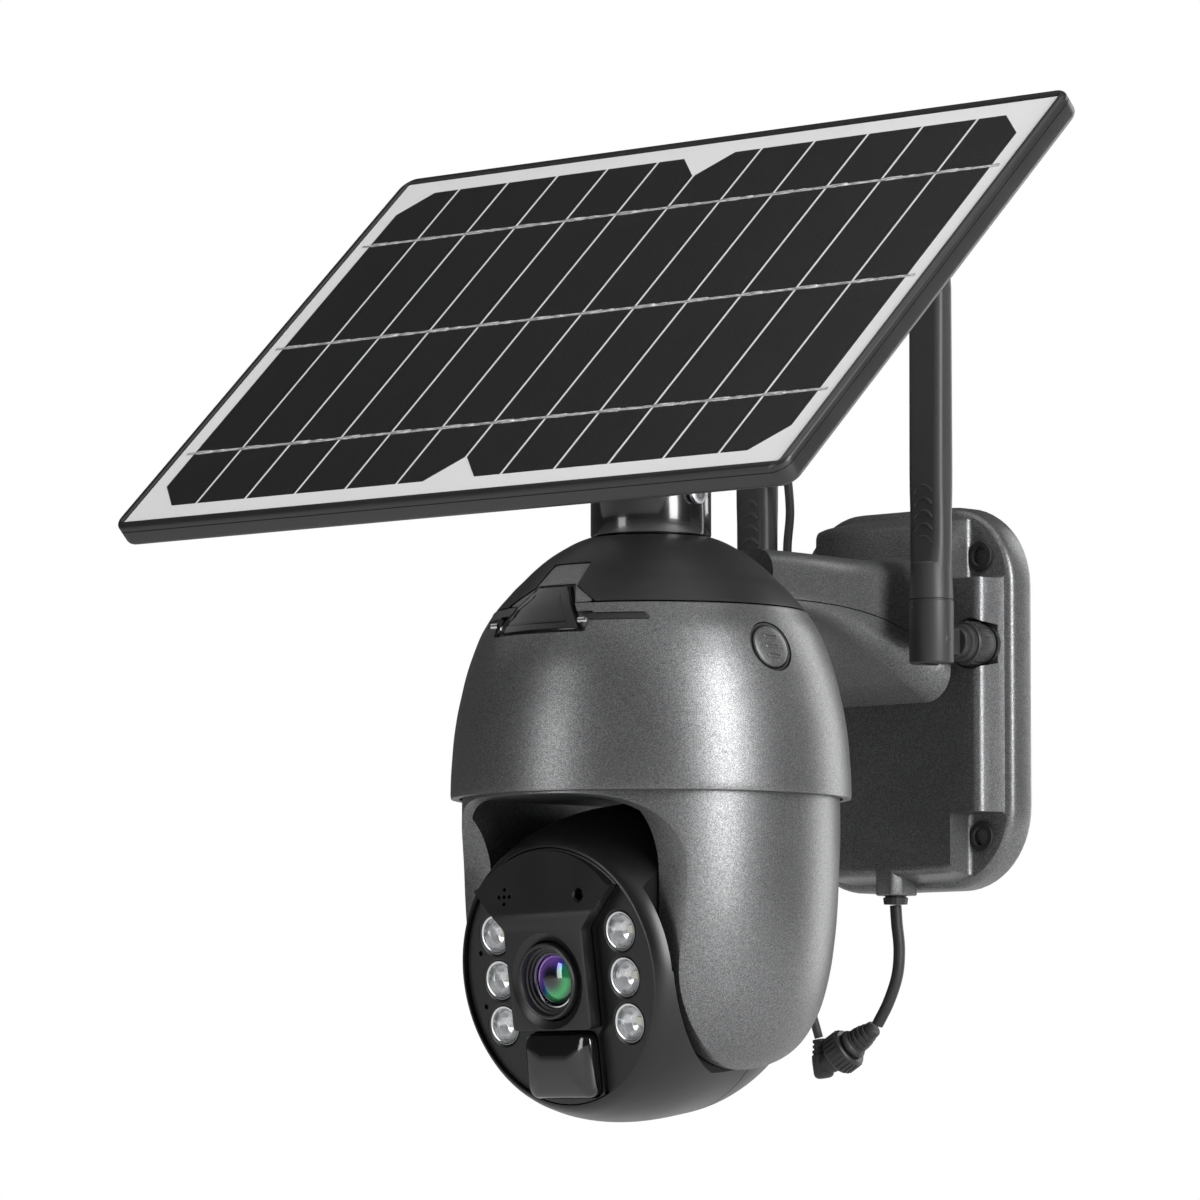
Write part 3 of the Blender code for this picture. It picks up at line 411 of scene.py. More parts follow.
@dataclass(frozen=True)
class Metal(Finish):
    """Bare metal with a fine turned or rolled grain."""

    colour: Colour = (0.62, 0.62, 0.64)
    roughness: float = 0.28
    stretch: Point3 = (1.0, 1.0, 14.0)

    def dress(self, shade: Shade) -> bpy.types.Material:
        """Build the nodes."""
        grain, tarnish = shade.noise(700.0, 3.0, self.stretch), shade.noise(120.0, 4.0)
        dull = tuple(value * 0.6 for value in self.colour)
        return shade.surface({
            "Base Color": shade.colours(grain * 0.5 + tarnish * 0.5, dull, self.colour),
            "Metallic": 1.0,
            "Roughness": self.roughness + (grain - 0.5) * 0.2 + tarnish * 0.08,
            "Normal": shade.bump(grain, 0.02, 0.4),
        })


@dataclass(frozen=True)
class SolarCell(Finish):
    """Dark silicon cells under the clear sheet, with hair-fine silver fingers along each strip."""

    silicon: Colour = (0.0026, 0.0027, 0.003)
    silver: Colour = (0.13, 0.13, 0.135)
    finger_pitch: float = 1.45

    def dress(self, shade: Shade) -> bpy.types.Material:
        """Build the nodes."""
        along, across = shade.sheet()
        finger = (abs((along * (1000.0 / self.finger_pitch)).fraction() - 0.5) > 0.40)
        weave = (abs((across * (1000.0 / 0.95)).fraction() - 0.5) > 0.30) * 0.35 + 0.65
        speck = shade.flakes(1500.0)
        return shade.surface({
            "Base Color": shade.colours(finger * weave * (0.35 + speck * 0.65), self.silicon, self.silver),
            "Roughness": 0.33 + finger * 0.12 + (speck - 0.5) * 0.06,
            "Metallic": finger * 0.5,
            "Normal": shade.bump(finger * 0.5 + speck * 0.5, 0.02, 0.35),
            "Coat Weight": 0.1,
            "Coat Roughness": 0.3,
        })


@dataclass(frozen=True)
class BackSheet(Finish):
    """White back sheet seen through the clear top sheet, slightly dimpled."""

    colour: Colour = (0.93, 0.93, 0.93)

    def dress(self, shade: Shade) -> bpy.types.Material:
        """Build the nodes."""
        dimple, cloud = shade.noise(1100.0, 2.0), shade.noise(25.0, 3.0)
        return shade.surface({
            "Base Color": shade.colours(cloud, tuple(value * 0.93 for value in self.colour), self.colour),
            "Roughness": 0.38 + dimple * 0.1,
            "Normal": shade.bump(dimple, 0.03, 0.4),
            "Coat Weight": 0.2,
            "Coat Roughness": 0.25,
        })


@dataclass(frozen=True)
class Ribbon(Finish):
    """Tinned copper ribbon with uneven bright solder patches."""

    def dress(self, shade: Shade) -> bpy.types.Material:
        """Build the nodes."""
        along, across = shade.sheet()
        mapped = shade.node("ShaderNodeCombineXYZ", None, {0: along * 260.0, 1: across * 2200.0})
        made = shade.node("ShaderNodeTexNoise", None,
                          {"Vector": mapped.outputs[0], "Scale": 1.0, "Detail": 3.0})
        patch = Value(shade, made.outputs[0]).smooth(0.44, 0.62)
        return shade.surface({
            "Base Color": shade.colours(patch, (0.34, 0.34, 0.345), (0.95, 0.95, 0.96)),
            "Metallic": 0.25,
            "Roughness": 0.45 - patch * 0.14,
            "Normal": shade.bump(patch, 0.12, 0.6),
        })


@dataclass(frozen=True)
class GlassWithPaintedReflection(Finish):
    """Camera glass: dark pupil ringed by a painted reflection of its coating, violet and blue above left and
    green below right, which also glows a little.
    """

    centre: Point3 = (0.0, 0.0, 0.0)
    radius: float = 8.0

    def dress(self, shade: Shade) -> bpy.types.Material:
        """Build the nodes."""
        x, _, z = shade.parts()
        right = (x - self.centre[0] * MM) / (self.radius * MM)
        up = (z - self.centre[2] * MM) / (self.radius * MM)
        # Painted reflection: the coating's colours are painted into the base colour by place on the glass.
        ring = ((right * right + up * up).smooth(0.02, 0.55)
                * (1.0 - (right * right + up * up).smooth(0.55, 1.05)))
        slant = ((up - right) * 0.5 + 0.5).smooth(0.12, 0.88)
        painted_reflection_tint = shade.node("ShaderNodeValToRGB", {"stops": (
            (0.0, (0.04, 0.30, 0.10)), (0.32, (0.03, 0.22, 0.20)), (0.5, (0.02, 0.05, 0.28)),
            (0.75, (0.10, 0.06, 0.38)), (1.0, (0.20, 0.09, 0.42)))}, {0: slant}).outputs[0]
        mixed = shade.node("ShaderNodeMix", {"data_type": "RGBA"},
                           {0: ring, 6: (0.002, 0.002, 0.004), 7: painted_reflection_tint})
        return shade.surface({
            "Base Color": mixed.outputs[2],
            "Roughness": 0.06 + shade.noise(300.0) * 0.02,
            "Metallic": ring * 0.7,
            "Coat Weight": 1.0,
            "Coat Roughness": 0.01,
            # Painted glow: the glass gives off its own colours though it is no lamp.
            "Emission Color": mixed.outputs[2],
            "Emission Strength": 0.25,
        })


@dataclass(frozen=True)
class ClearLens(Finish):
    """Clear moulded lens dome: mostly see-through, with a painted sheen that makes its rim pale where it is
    seen edge-on.
    """

    colour: Colour = (0.86, 0.88, 0.9)

    def dress(self, shade: Shade) -> bpy.types.Material:
        """Build the nodes."""
        ripple = shade.noise(700.0, 1.0)
        facing = Value(shade, shade.node("ShaderNodeLayerWeight", None, {"Blend": 0.35}).outputs["Facing"])
        return shade.surface({
            "Base Color": shade.colours(ripple, tuple(value * 0.85 for value in self.colour), self.colour),
            "Roughness": 0.04 + ripple * 0.05,
            # Painted reflection: opacity rises where the dome is seen edge-on, so its pale colour shows as a
            # bright rim.
            "Alpha": 0.10 + facing * 0.42,
            "Coat Weight": 1.0,
            "Coat Roughness": 0.02,
            "Normal": shade.bump(ripple, 0.03, 0.3),
        })


@dataclass(frozen=True)
class Backdrop(Finish):
    """Pale studio floor."""

    def dress(self, shade: Shade) -> bpy.types.Material:
        """Build the nodes."""
        cloud = shade.noise(3.0, 4.0)
        return shade.surface({
            "Base Color": shade.colours(cloud, (0.86, 0.86, 0.86), (0.9, 0.9, 0.9)),
            "Roughness": 0.7 + cloud * 0.1,
            "Emission Color": (1.0, 1.0, 1.0),
            "Emission Strength": 0.12,
        })


GREY_PAINT = FlakePaint("grey_flake_paint", "metallic_grey")
PALE_PAINT = FlakePaint("pale_flake_paint", "metallic_grey", dark=(0.10, 0.10, 0.104),
                        light=(0.42, 0.423, 0.43),
                        roughness=0.46)
SATIN_BLACK = Moulded("satin_black", "matt_black")
HEAD_BLACK = Moulded("head_black", "matt_black", colour=(0.0035, 0.0035, 0.004), roughness=0.33, depth=0.02)
FRAME_BLACK = Moulded("frame_black", "matt_black", colour=(0.012, 0.012, 0.0125), roughness=0.38,
                      grain=1900.0)
AERIAL_BLACK = Moulded("aerial_black", "matt_black", colour=(0.017, 0.017, 0.018), roughness=0.46,
                       grain=2200.0, depth=0.045)
SHADOW_BLACK = Moulded("shadow_black", "matt_black", colour=(0.003, 0.003, 0.003), roughness=0.7)
GLOSS_BLACK = Polished("gloss_black", "gloss_black")
NECK_BLACK = Polished("neck_black", "gloss_black", colour=(0.006, 0.006, 0.0065), roughness=0.16)
CORD_BLACK = Rubber("cord_black", "black_rubber")
SEAL_BLACK = Rubber("seal_black", "black_rubber", colour=(0.005, 0.005, 0.005), roughness=0.65)
STEEL = Metal("bright_steel", "steel")
CHROME = Metal("reflector_chrome", "steel", colour=(0.86, 0.87, 0.88), roughness=0.12)
BRASS = Metal("turned_brass", "brass", colour=(0.66, 0.5, 0.22), roughness=0.3)
CELL = SolarCell("solar_cell", "solar_laminate")
WHITE_SHEET = BackSheet("white_sheet", "solar_laminate")
RIBBON = Ribbon("busbar_ribbon", "solar_laminate")
# The lamp domes' clear finish paints a pale sheen on their rims.
CLEAR = ClearLens("lamp_clear", "lamp_lens")
EMITTER = Moulded("lamp_chip", "lamp_lens", colour=(0.5, 0.48, 0.38), roughness=0.35)
ACETAL = Moulded("white_acetal", "white_acetal", colour=(0.6, 0.6, 0.58), roughness=0.4)
GREEN_BOARD = Moulded("green_board", "board", colour=(0.012, 0.11, 0.045), roughness=0.35, grain=900.0)
BLUE_WRAP = Moulded("blue_wrap", "battery_wrap", colour=(0.02, 0.06, 0.24), roughness=0.25, grain=500.0)
# The lens glass carries a painted reflection of its coating and a painted glow.
LENS = GlassWithPaintedReflection("lens_painted_reflection", "camera_lens", centre=(0.0, 0.0, -97.6))
FLOOR = Backdrop("studio_floor", "none")


# ---------------------------------------------------------------- outlines


def rounded(half_x: float, half_y: float, radius: float, steps: int = 8,
            centre: Point2 = (0.0, 0.0)) -> list[Point2]:
    """A rounded rectangle, anticlockwise.

    Args:
        half_x: Half its width.
        half_y: Half its height.
        radius: Corner radius.
        steps: Segments in each corner.
        centre: Its middle.

    Returns:
        Its points.
    """
    outline = []
    for corner, (sx, sy) in enumerate(((1, 1), (-1, 1), (-1, -1), (1, -1))):
        for i in range(steps + 1):
            angle = math.radians(90 * corner + 90 * i / steps)
            outline.append((centre[0] + sx * (half_x - radius) + radius * math.cos(angle),
                            centre[1] + sy * (half_y - radius) + radius * math.sin(angle)))
    return outline


def circle(radius: float, count: int = 48, centre: Point2 = (0.0, 0.0)) -> list[Point2]:
    """A circle's points."""
    return [(centre[0] + radius * math.cos(2 * math.pi * i / count),
             centre[1] + radius * math.sin(2 * math.pi * i / count)) for i in range(count)]


def filleted(points: Sequence[Point2], radius: Union[float, Sequence[float]], steps: int = 4,
             closed: bool = True) -> list[Point2]:
    """Round the corners of an outline or a profile.

    Args:
        points: Its corners in order.
        radius: One radius, or one for each corner.
        steps: Segments in each corner.
        closed: Whether the last point joins the first.

    Returns:
        The rounded points.
    """
    count = len(points)
    radii = [radius] * count if isinstance(radius, (int, float)) else list(radius)
    result: list[Point2] = []
    for i, point in enumerate(points):
        here = Vector(point)
        if radii[i] <= 0 or (not closed and i in (0, count - 1)):
            result.append(tuple(here))
            continue
        before, after = Vector(points[i - 1]) - here, Vector(points[(i + 1) % count]) - here
        angle = before.angle(after)
        if angle > math.radians(176):
            result.append(tuple(here))
            continue
        reach = min(radii[i] / math.tan(angle / 2), before.length * 0.49, after.length * 0.49)
        start, end = here + before.normalized() * reach, here + after.normalized() * reach
        grip = 0.55 if angle > math.radians(80) else 0.75
        for k in range(steps + 1):
            t = k / steps
            a, b = start.lerp(here, grip), end.lerp(here, grip)
            result.append(tuple((1 - t)**3 * start + 3 * (1 - t)**2 * t * a + 3 * (1 - t) * t * t * b
                                + t**3 * end))
    return result


def flowing(points: Sequence[Sequence[float]], step: float) -> list[Vector]:
    """Evenly spaced points of a Catmull-Rom curve through these.

    Args:
        points: The points in order, in two or three dimensions.
        step: Spacing to aim for.

    Returns:
        The points.
    """
    knots = [Vector(point) for point in points]
    knots = [2 * knots[0] - knots[1]] + knots + [2 * knots[-1] - knots[-2]]
    fine = []
    for a, b, c, d in zip(knots, knots[1:], knots[2:], knots[3:]):
        for i in range(24):
            t = i / 24
            fine.append(0.5 * (2 * b + (c - a) * t + (2 * a - 5 * b + 4 * c - d) * t**2
                               + (3 * b - a - 3 * c + d) * t**3))
    fine.append(knots[-2])
    lengths = [0.0]
    for a, b in zip(fine, fine[1:]):
        lengths.append(lengths[-1] + (b - a).length)
    count, near, route = max(2, round(lengths[-1] / step)), 0, []
    for i in range(count + 1):
        want = lengths[-1] * i / count
        while near < len(fine) - 2 and lengths[near + 1] < want:
            near += 1
        share = (want - lengths[near]) / (lengths[near + 1] - lengths[near])
        route.append(fine[near].lerp(fine[near + 1], min(1.0, share)))
    return route


def spin(angle: float, axis: str) -> Matrix:
    """A turn of this many degrees about an axis."""
    return Matrix.Rotation(math.radians(angle), 4, axis)


def at(x: float, y: float, z: float) -> Matrix:
    """A shift in millimetres."""
    return Matrix.Translation((x, y, z))


SWIVEL_FRAME = at(0, AXIS_Y, 0) @ spin(PANEL_SWIVEL, "Z")
PANEL_FRAME = SWIVEL_FRAME @ at(0, 0, PIVOT_Z) @ spin(PANEL_TILT, "X")
GLASS_FRAME = PANEL_FRAME @ at(0, PANEL_SHIFT, 0)
HEAD_FRAME = at(0, AXIS_Y, TILT_Z) @ spin(HEAD_DROP, "X")
FACE_FRAME = HEAD_FRAME @ spin(90, "X")
HOUSING_FRAME = at(0, AXIS_Y, RIM_Z)


# ---------------------------------------------------------------- solids


class Solid:
    """A closed shape in millimetres that is placed, cut and joined before it becomes a piece."""

    def __init__(self, mesh: bpy.types.Mesh) -> None:
        """Hold a mesh."""
        self.mesh = mesh

    @classmethod
    def grown(cls, shape: bmesh.types.BMesh) -> "Solid":
        """A solid from a bmesh, with its faces turned outwards."""
        bmesh.ops.remove_doubles(shape, verts=shape.verts, dist=1e-5)
        bmesh.ops.recalc_face_normals(shape, faces=shape.faces)
        mesh = bpy.data.meshes.new("shape")
        shape.to_mesh(mesh)
        shape.free()
        return cls(mesh)

    def copy(self) -> "Solid":
        """Another solid of the same shape."""
        return Solid(self.mesh.copy())

    def placed(self, matrix: Matrix) -> "Solid":
        """Move the solid by a matrix in millimetres."""
        self.mesh.transform(matrix)
        return self

    def _modified(self, dress: Callable[[bpy.types.Object], None]) -> "Solid":
        """Apply modifiers.

        Args:
            dress: Adds them to an object of this mesh.

        Returns:
            The solid itself.
        """
        holder = bpy.data.objects.new("holder", self.mesh)
        bpy.context.scene.collection.objects.link(holder)
        dress(holder)
        bpy.context.view_layer.update()
        done = holder.evaluated_get(bpy.context.evaluated_depsgraph_get())
        self.mesh = bpy.data.meshes.new_from_object(done)
        bpy.data.objects.remove(holder)
        return self

    def _combined(self, operation: Operation, others: Iterable["Solid"]) -> "Solid":
        """Combine with other solids in order."""
        for other in others:
            tool = bpy.data.objects.new("tool", other.mesh)
            bpy.context.scene.collection.objects.link(tool)

            def dress(holder: bpy.types.Object, tool: bpy.types.Object = tool) -> None:
                """Add the Boolean."""
                boolean = holder.modifiers.new("combine", "BOOLEAN")
                boolean.operation = operation.value
                boolean.object = tool

            self._modified(dress)
            bpy.data.objects.remove(tool)
        return self

    def cut(self, *others: "Solid") -> "Solid":
        """Cut these away."""
        return self._combined(Operation.CUT, others)

    def join(self, *others: "Solid") -> "Solid":
        """Join these on."""
        return self._combined(Operation.JOIN, others)

    def keep(self, *others: "Solid") -> "Solid":
        """Keep only what lies inside these."""
        return self._combined(Operation.KEEP, others)

    def with_loose(self, *others: "Solid") -> "Solid":
        """Put these in the same mesh without joining their surfaces."""
        shape = bmesh.new()
        for each in (self, *others):
            shape.from_mesh(each.mesh)
        mesh = bpy.data.meshes.new("shape")
        shape.to_mesh(mesh)
        shape.free()
        self.mesh = mesh
        return self

    def eased(self, width: float, segments: int = 2, angle: float = 40.0) -> "Solid":
        """Round every edge sharper than an angle.

        Args:
            width: Width of the rounding.
            segments: Its segments.
            angle: Degrees past which an edge is rounded.

        Returns:
            The solid itself.
        """
        def dress(holder: bpy.types.Object) -> None:
            """Weld, then bevel."""
            holder.modifiers.new("weld", "WELD").merge_threshold = 0.002
            bevel = holder.modifiers.new("ease", "BEVEL")
            bevel.width, bevel.segments = width, segments
            bevel.limit_method, bevel.angle_limit = "ANGLE", math.radians(angle)
            bevel.miter_outer = "MITER_ARC"

        return self._modified(dress)


def turned(profile: Sequence[Point2], sides: int = 96, closed: bool = False) -> Solid:
    """A turned solid about Z.

    Args:
        profile: (radius, height) points. An open one starts and ends on the axis; a closed one is a ring's
            section.
        sides: Sides all round.
        closed: Whether the profile is a closed section.

    Returns:
        The solid.
    """
    shape = bmesh.new()
    rings = []
    for radius, height in profile:
        if radius < 1e-4:
            rings.append([shape.verts.new((0, 0, height))])
        else:
            rings.append([shape.verts.new((x, y, height)) for x, y in circle(radius, sides)])
    pairs = list(zip(rings, rings[1:] + rings[:1])) if closed else list(zip(rings, rings[1:]))
    for first, second in pairs:
        for i in range(sides):
            j = (i + 1) % sides
            corners = [first[i % len(first)], first[j % len(first)], second[j % len(second)],
                       second[i % len(second)]]
            unique = list(dict.fromkeys(corners))
            if len(unique) > 2:
                shape.faces.new(unique)
    return Solid.grown(shape)


def prism(outline: Sequence[Point2], low: float, high: float, ease: float = 0.0, steps: int = 2) -> Solid:
    """A flat piece along Z from an outline.

    Args:
        outline: Its points, in order.
        low: Height of its back.
        high: Height of its front.
        ease: Rounding of its front and back edges.
        steps: Segments of that rounding.

    Returns:
        The solid.
    """
    shape = bmesh.new()
    rows = [[shape.verts.new((x, y, z)) for x, y in outline] for z in (low, high)]
    count = len(outline)
    caps = [shape.faces.new(rows[0]), shape.faces.new(rows[1])]
    for i in range(count):
        j = (i + 1) % count
        shape.faces.new((rows[0][i], rows[0][j], rows[1][j], rows[1][i]))
    if ease:
        bmesh.ops.recalc_face_normals(shape, faces=shape.faces)
        rims = [edge for cap in caps for edge in cap.edges]
        bmesh.ops.bevel(shape, geom=rims, offset=ease, segments=steps, profile=0.5, affect="EDGES",
                        clamp_overlap=True)
    return Solid.grown(shape)


def loft(rings: Sequence[Sequence[Sequence[float]]]) -> Solid:
    """A skin through rings of matching points, with its ends filled."""
    shape = bmesh.new()
    rows = [[shape.verts.new(point) for point in ring] for ring in rings]
    count = len(rows[0])
    for first, second in zip(rows, rows[1:]):
        for i in range(count):
            j = (i + 1) % count
            shape.faces.new((first[i], first[j], second[j], second[i]))
    shape.faces.new(rows[0])
    shape.faces.new(rows[-1])
    return Solid.grown(shape)


def block(size: Point3, ease: float = 0.0) -> Solid:
    """A box about its middle with eased edges."""
    half_x, half_y = size[0] / 2, size[1] / 2
    outline = rounded(half_x, half_y, min(ease * 1.2, half_x * 0.9, half_y * 0.9), 3) if ease else [
        (half_x, half_y), (-half_x, half_y), (-half_x, -half_y), (half_x, -half_y)]
    return prism(outline, -size[2] / 2, size[2] / 2, ease)


def rod(radius: float, low: float, high: float, ease: float = 0.0, sides: int = 48) -> Solid:
    """A round bar along Z with eased ends."""
    return prism(circle(radius, sides), low, high, ease)


def hose(points: Sequence[Vector], radius: Union[float, Callable[[float], float]], sides: int = 16) -> Solid:
    """A tube along a path with rounded-off ends.

    Args:
        points: The path.
        radius: Its radius, or a function of the distance run.
        sides: Sides all round.

    Returns:
        The solid.
    """
    size = radius if callable(radius) else (lambda distance: radius)
    rings, run = [], 0.0
    across = Vector((0.31, 0.2, 0.93))
    for i, point in enumerate(points):
        ahead = (points[min(i + 1, len(points) - 1)] - points[max(i - 1, 0)]).normalized()
        across = (across - ahead * across.dot(ahead)).normalized()
        other = ahead.cross(across)
        run += (point - points[i - 1]).length if i else 0.0
        rings.append([point + (across * x + other * y) for x, y in circle(size(run), sides)])
    return loft(rings)


# ---------------------------------------------------------------- repeats and pieces


class Repeat:
    """A Geometry Nodes tree that repeats a shape by a step and a turn, a set number of times."""

    INPUTS = (("Count", "NodeSocketInt"), ("Start", "NodeSocketVector"), ("Step", "NodeSocketVector"),
              ("Turn", "NodeSocketVector"), ("First Turn", "NodeSocketVector"),
              ("Finish", "NodeSocketMaterial"))
    tree: ClassVar[Optional[bpy.types.NodeTree]] = None

    @classmethod
    def built(cls) -> bpy.types.NodeTree:
        """The tree, made on first use."""
        if cls.tree:
            return cls.tree
        tree = cls.tree = bpy.data.node_groups.new("repeat", "GeometryNodeTree")
        tree.interface.new_socket("Geometry", in_out="INPUT", socket_type="NodeSocketGeometry")
        for name, kind in cls.INPUTS:
            tree.interface.new_socket(name, in_out="INPUT", socket_type=kind)
        tree.interface.new_socket("Geometry", in_out="OUTPUT", socket_type="NodeSocketGeometry")

        def node(kind: str, settings: Optional[dict[str, Any]] = None,
                 inputs: Optional[dict[Union[str, int], Any]] = None) -> bpy.types.Node:
            """Add a node with its settings and inputs."""
            made = tree.nodes.new(kind)
            for key, value in (settings or {}).items():
                setattr(made, key, value)
            for key, value in (inputs or {}).items():
                tree.links.new(value, made.inputs[key])
            return made

        given = node("NodeGroupInput").outputs
        line = node("GeometryNodeMeshLine", {"mode": "OFFSET"}, {
            "Count": given["Count"], "Start Location": given["Start"], "Offset": given["Step"]})
        index = node("GeometryNodeInputIndex").outputs[0]
        scaled = node("ShaderNodeVectorMath", {"operation": "SCALE"}, {0: given["Turn"], "Scale": index})
        turn = node("ShaderNodeVectorMath", {"operation": "ADD"},
                    {0: scaled.outputs[0], 1: given["First Turn"]})
        copies = node("GeometryNodeInstanceOnPoints", None, {
            "Points": line.outputs[0], "Instance": given["Geometry"], "Rotation": turn.outputs[0]})
        real = node("GeometryNodeRealizeInstances", None, {0: copies.outputs[0]})
        dressed = node("GeometryNodeSetMaterial", None,
                       {"Geometry": real.outputs[0], "Material": given["Finish"]})
        node("NodeGroupOutput", None, {0: dressed.outputs[0]})
        return tree

    @classmethod
    def of(cls, item: Solid, finish: Finish, count: int, step: Point3 = (0, 0, 0), start: Point3 = (0, 0, 0),
           turn: Point3 = (0, 0, 0), first_turn: Point3 = (0, 0, 0)) -> Solid:
        """Repeat a shape.

        Args:
            item: The shape to repeat.
            finish: The finish it takes.
            count: How many.
            step: Shift from one to the next.
            start: Shift of the first.
            turn: Degrees about each axis from one to the next.
            first_turn: Degrees about each axis of the first.

        Returns:
            One solid with them all.
        """
        tree = cls.built()
        values = {"Count": count, "Start": start, "Step": step, "Turn": [math.radians(a) for a in turn],
                  "First Turn": [math.radians(a) for a in first_turn], "Finish": finish.material()}

        def dress(holder: bpy.types.Object) -> None:
            """Add the tree and set its inputs by identifier."""
            modifier = holder.modifiers.new("repeat", "NODES")
            modifier.node_group = tree
            for socket in tree.interface.items_tree:
                if socket.in_out == "INPUT" and socket.name in values:
                    modifier[socket.identifier] = values[socket.name]

        return item.copy()._modified(dress)


class Maker:
    """Turns finished solids into pieces that ride on the frame."""

    count: ClassVar[int] = 0

    @classmethod
    def piece(cls, name: str, solid: Solid, finish: Finish, body: Optional[Body],
              stands_for: Sequence[str] = (), sharp: float = 32.0,
              sheet: Optional[Matrix] = None) -> bpy.types.Object:
        """Finish one piece.

        Args:
            name: Its name.
            solid: Its shape in millimetres.
            finish: Its finish.
            body: The body that it rides on, or none for a piece that spans a joint.
            stands_for: CAD nodes that it replaces.
            sharp: Degrees past which an edge stays sharp.
            sheet: A frame in millimetres whose X and Y give its UV map, in metres.

        Returns:
            The piece.
        """
        mesh = solid.mesh.copy()
        mesh.name = name
        mesh.transform(Matrix.Scale(MM, 4))
        mesh.materials.clear()
        mesh.materials.append(finish.material())
        mesh.shade_smooth()
        mesh.set_sharp_from_angle(angle=math.radians(sharp))
        if sheet is not None:
            back = sheet.inverted()
            layer = mesh.uv_layers.new(name="sheet")
            for loop, entry in zip(mesh.loops, layer.data):
                flat = back @ (mesh.vertices[loop.vertex_index].co / MM)
                entry.uv = (flat.x * MM, flat.y * MM)
        piece = bpy.data.objects.new(name, mesh)
        bpy.context.scene.collection.objects.link(piece)
        if body:
            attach(piece, body.value)
        if stands_for:
            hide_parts(*stands_for)
            cls.compared(piece, stands_for)
        cls.count += 1
        log.info("%s: %d faces on %s", name, len(mesh.polygons), body.value if body else "two bodies")
        return piece

    @staticmethod
    def compared(piece: bpy.types.Object, nodes: Sequence[str]) -> None:
        """Warn where a piece's box is over 3 mm away from that of the nodes that it stands for.

        Args:
            piece: The piece.
            nodes: The nodes' names.
        """
        places = [vertex.co for vertex in piece.data.vertices]
        boxes = [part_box(node) for node in nodes]
        for axis in range(3):
            ends = (min(place[axis] for place in places) - min(low[axis] for low, _ in boxes),
                    max(place[axis] for place in places) - max(high[axis] for _, high in boxes))
            if max(abs(end) for end in ends) > 3 * MM:
                log.warning("%s differs from its nodes by %.1f and %.1f mm on axis %d", piece.name,
                            ends[0] / MM, ends[1] / MM, axis)

    @staticmethod
    def dress_node(name: str, finish: Finish) -> None:
        """Give a carried-over CAD node its finish."""
        node = frame["nodes"][name]
        node.data.materials.clear()
        node.data.materials.append(finish.material())
        log.info("%s: CAD node in %s", name, finish.name)


# ---------------------------------------------------------------- wall base and arm


@dataclass
class WallBase:
    """The moulded wall base: rounded rim, sloped band, front face, four screw pockets and gland boss."""

    half_w: float = 48.0
    half_h: float = 65.0
    corner: float = 28.0
    screw_x: float = 35.0
    screw_z: float = 47.4
    aerial_x: float = 39.2
    aerial_z: float = 17.0

    def ring(self, y: float, inset: float, corner: Optional[float] = None) -> list[Point3]:
        """One outline of the base.

        Args:
            y: Distance in front of the wall.
            inset: How far in from the full outline.
            corner: Corner radius, else the full one less the inset.

        Returns:
            Its points.
        """
        radius = self.corner - inset if corner is None else corner
        return [(x, -y, z) for x, z in rounded(self.half_w - inset, self.half_h - inset, radius, 14)]

    def cover(self) -> Solid:
        """The cover's shape."""
        body = loft([
            self.ring(0.0, 0.8), self.ring(0.5, 0.3), self.ring(1.5, 0.0), self.ring(8.0, 0.0),
            self.ring(9.4, 0.2), self.ring(10.5, 0.8), self.ring(11.1, 1.6), self.ring(11.6, 2.6, 25.2),
            self.ring(13.5, 3.3, 23.5), self.ring(17.0, 4.2, 21.0), self.ring(19.4, 4.8, 19.4),
            self.ring(20.6, 5.3, 18.6), self.ring(21.4, 6.1, 17.8), self.ring(21.85, 7.0, 17.0),
            self.ring(22.0, 8.0, 16.2)])
        body.join(prism(filleted([(-5.6, -11), (5.6, -11), (5.6, -18.4), (3.4, -22.0), (-3.4, -22.0),
                                  (-5.6, -18.4)],
                                 (0, 0, 3.0, 2.0, 2.0, 3.0), 4), -66.5, -50.0, 0.5))
        hollow = loft([self.ring(-1.0, 3.2), self.ring(8.8, 3.2), self.ring(19.0, 9.0, 15.5)])
        tools = []
        for sx in (-1, 1):
            for sz in (-1, 1):
                tools.append(block((30, 20, 30), 1.6).placed(at(sx * 45, -21.2, sz * 54.4)))
                hollow.cut(block((35.2, 22, 35.2)).placed(at(sx * 45, -19.6, sz * 54.4)))
                tools.append(rod(2.75, -14, 2, 0.0, 32).placed(at(sx * self.screw_x, 0, sz * self.screw_z)
                                                               @ spin(90, "X")))
                tools.append(turned([(0, 11.5), (4.3, 11.5), (4.3, 10.6), (3.9, 10.5), (0, 10.5)], 32)
                             .placed(at(sx * self.screw_x, 0, sz * self.screw_z) @ spin(90, "X")))
            tools.append(turned([(0, 40), (9.0, 40), (9.0, 22.2), (8.4, 21.4), (8.4, 14.0), (0, 14.0)], 48)
                         .placed(at(sx * self.aerial_x, 0, self.aerial_z) @ spin(90, "X")))
            hollow.cut(rod(10.8, 11.0, 40).placed(at(sx * self.aerial_x, 0, self.aerial_z) @ spin(90, "X")))
        tools.append(rod(4.0, -74, -54, 0.0, 32).placed(at(0, -15.5, 0)))
        return body.cut(hollow, *tools)

    def build(self) -> None:
        """Make the base's pieces."""
        Maker.piece("base_cover_skin", self.cover(), GREY_PAINT, Body.FIXED, ["base_cover"])
        Maker.dress_node("wall_plate", STEEL)
        for side in Side:
            Maker.dress_node(f"aerial_socket_{side.word}", AERIAL_BLACK)
        profile = [(5.2, 11.35), (5.2, 12.0), (4.9, 12.3), (3.3, 12.3), (2.9, 12.0), (2.9, 11.35)]
        left, right = (
            Repeat.of(turned(profile, 32, True).placed(spin(90, "X")), SHADOW_BLACK, 2,
                      (0, 0, -2 * self.screw_z), (x, 0, self.screw_z))
            for x in (-self.screw_x, self.screw_x))
        Maker.piece("screw_collars", left.with_loose(right), SATIN_BLACK, Body.FIXED)


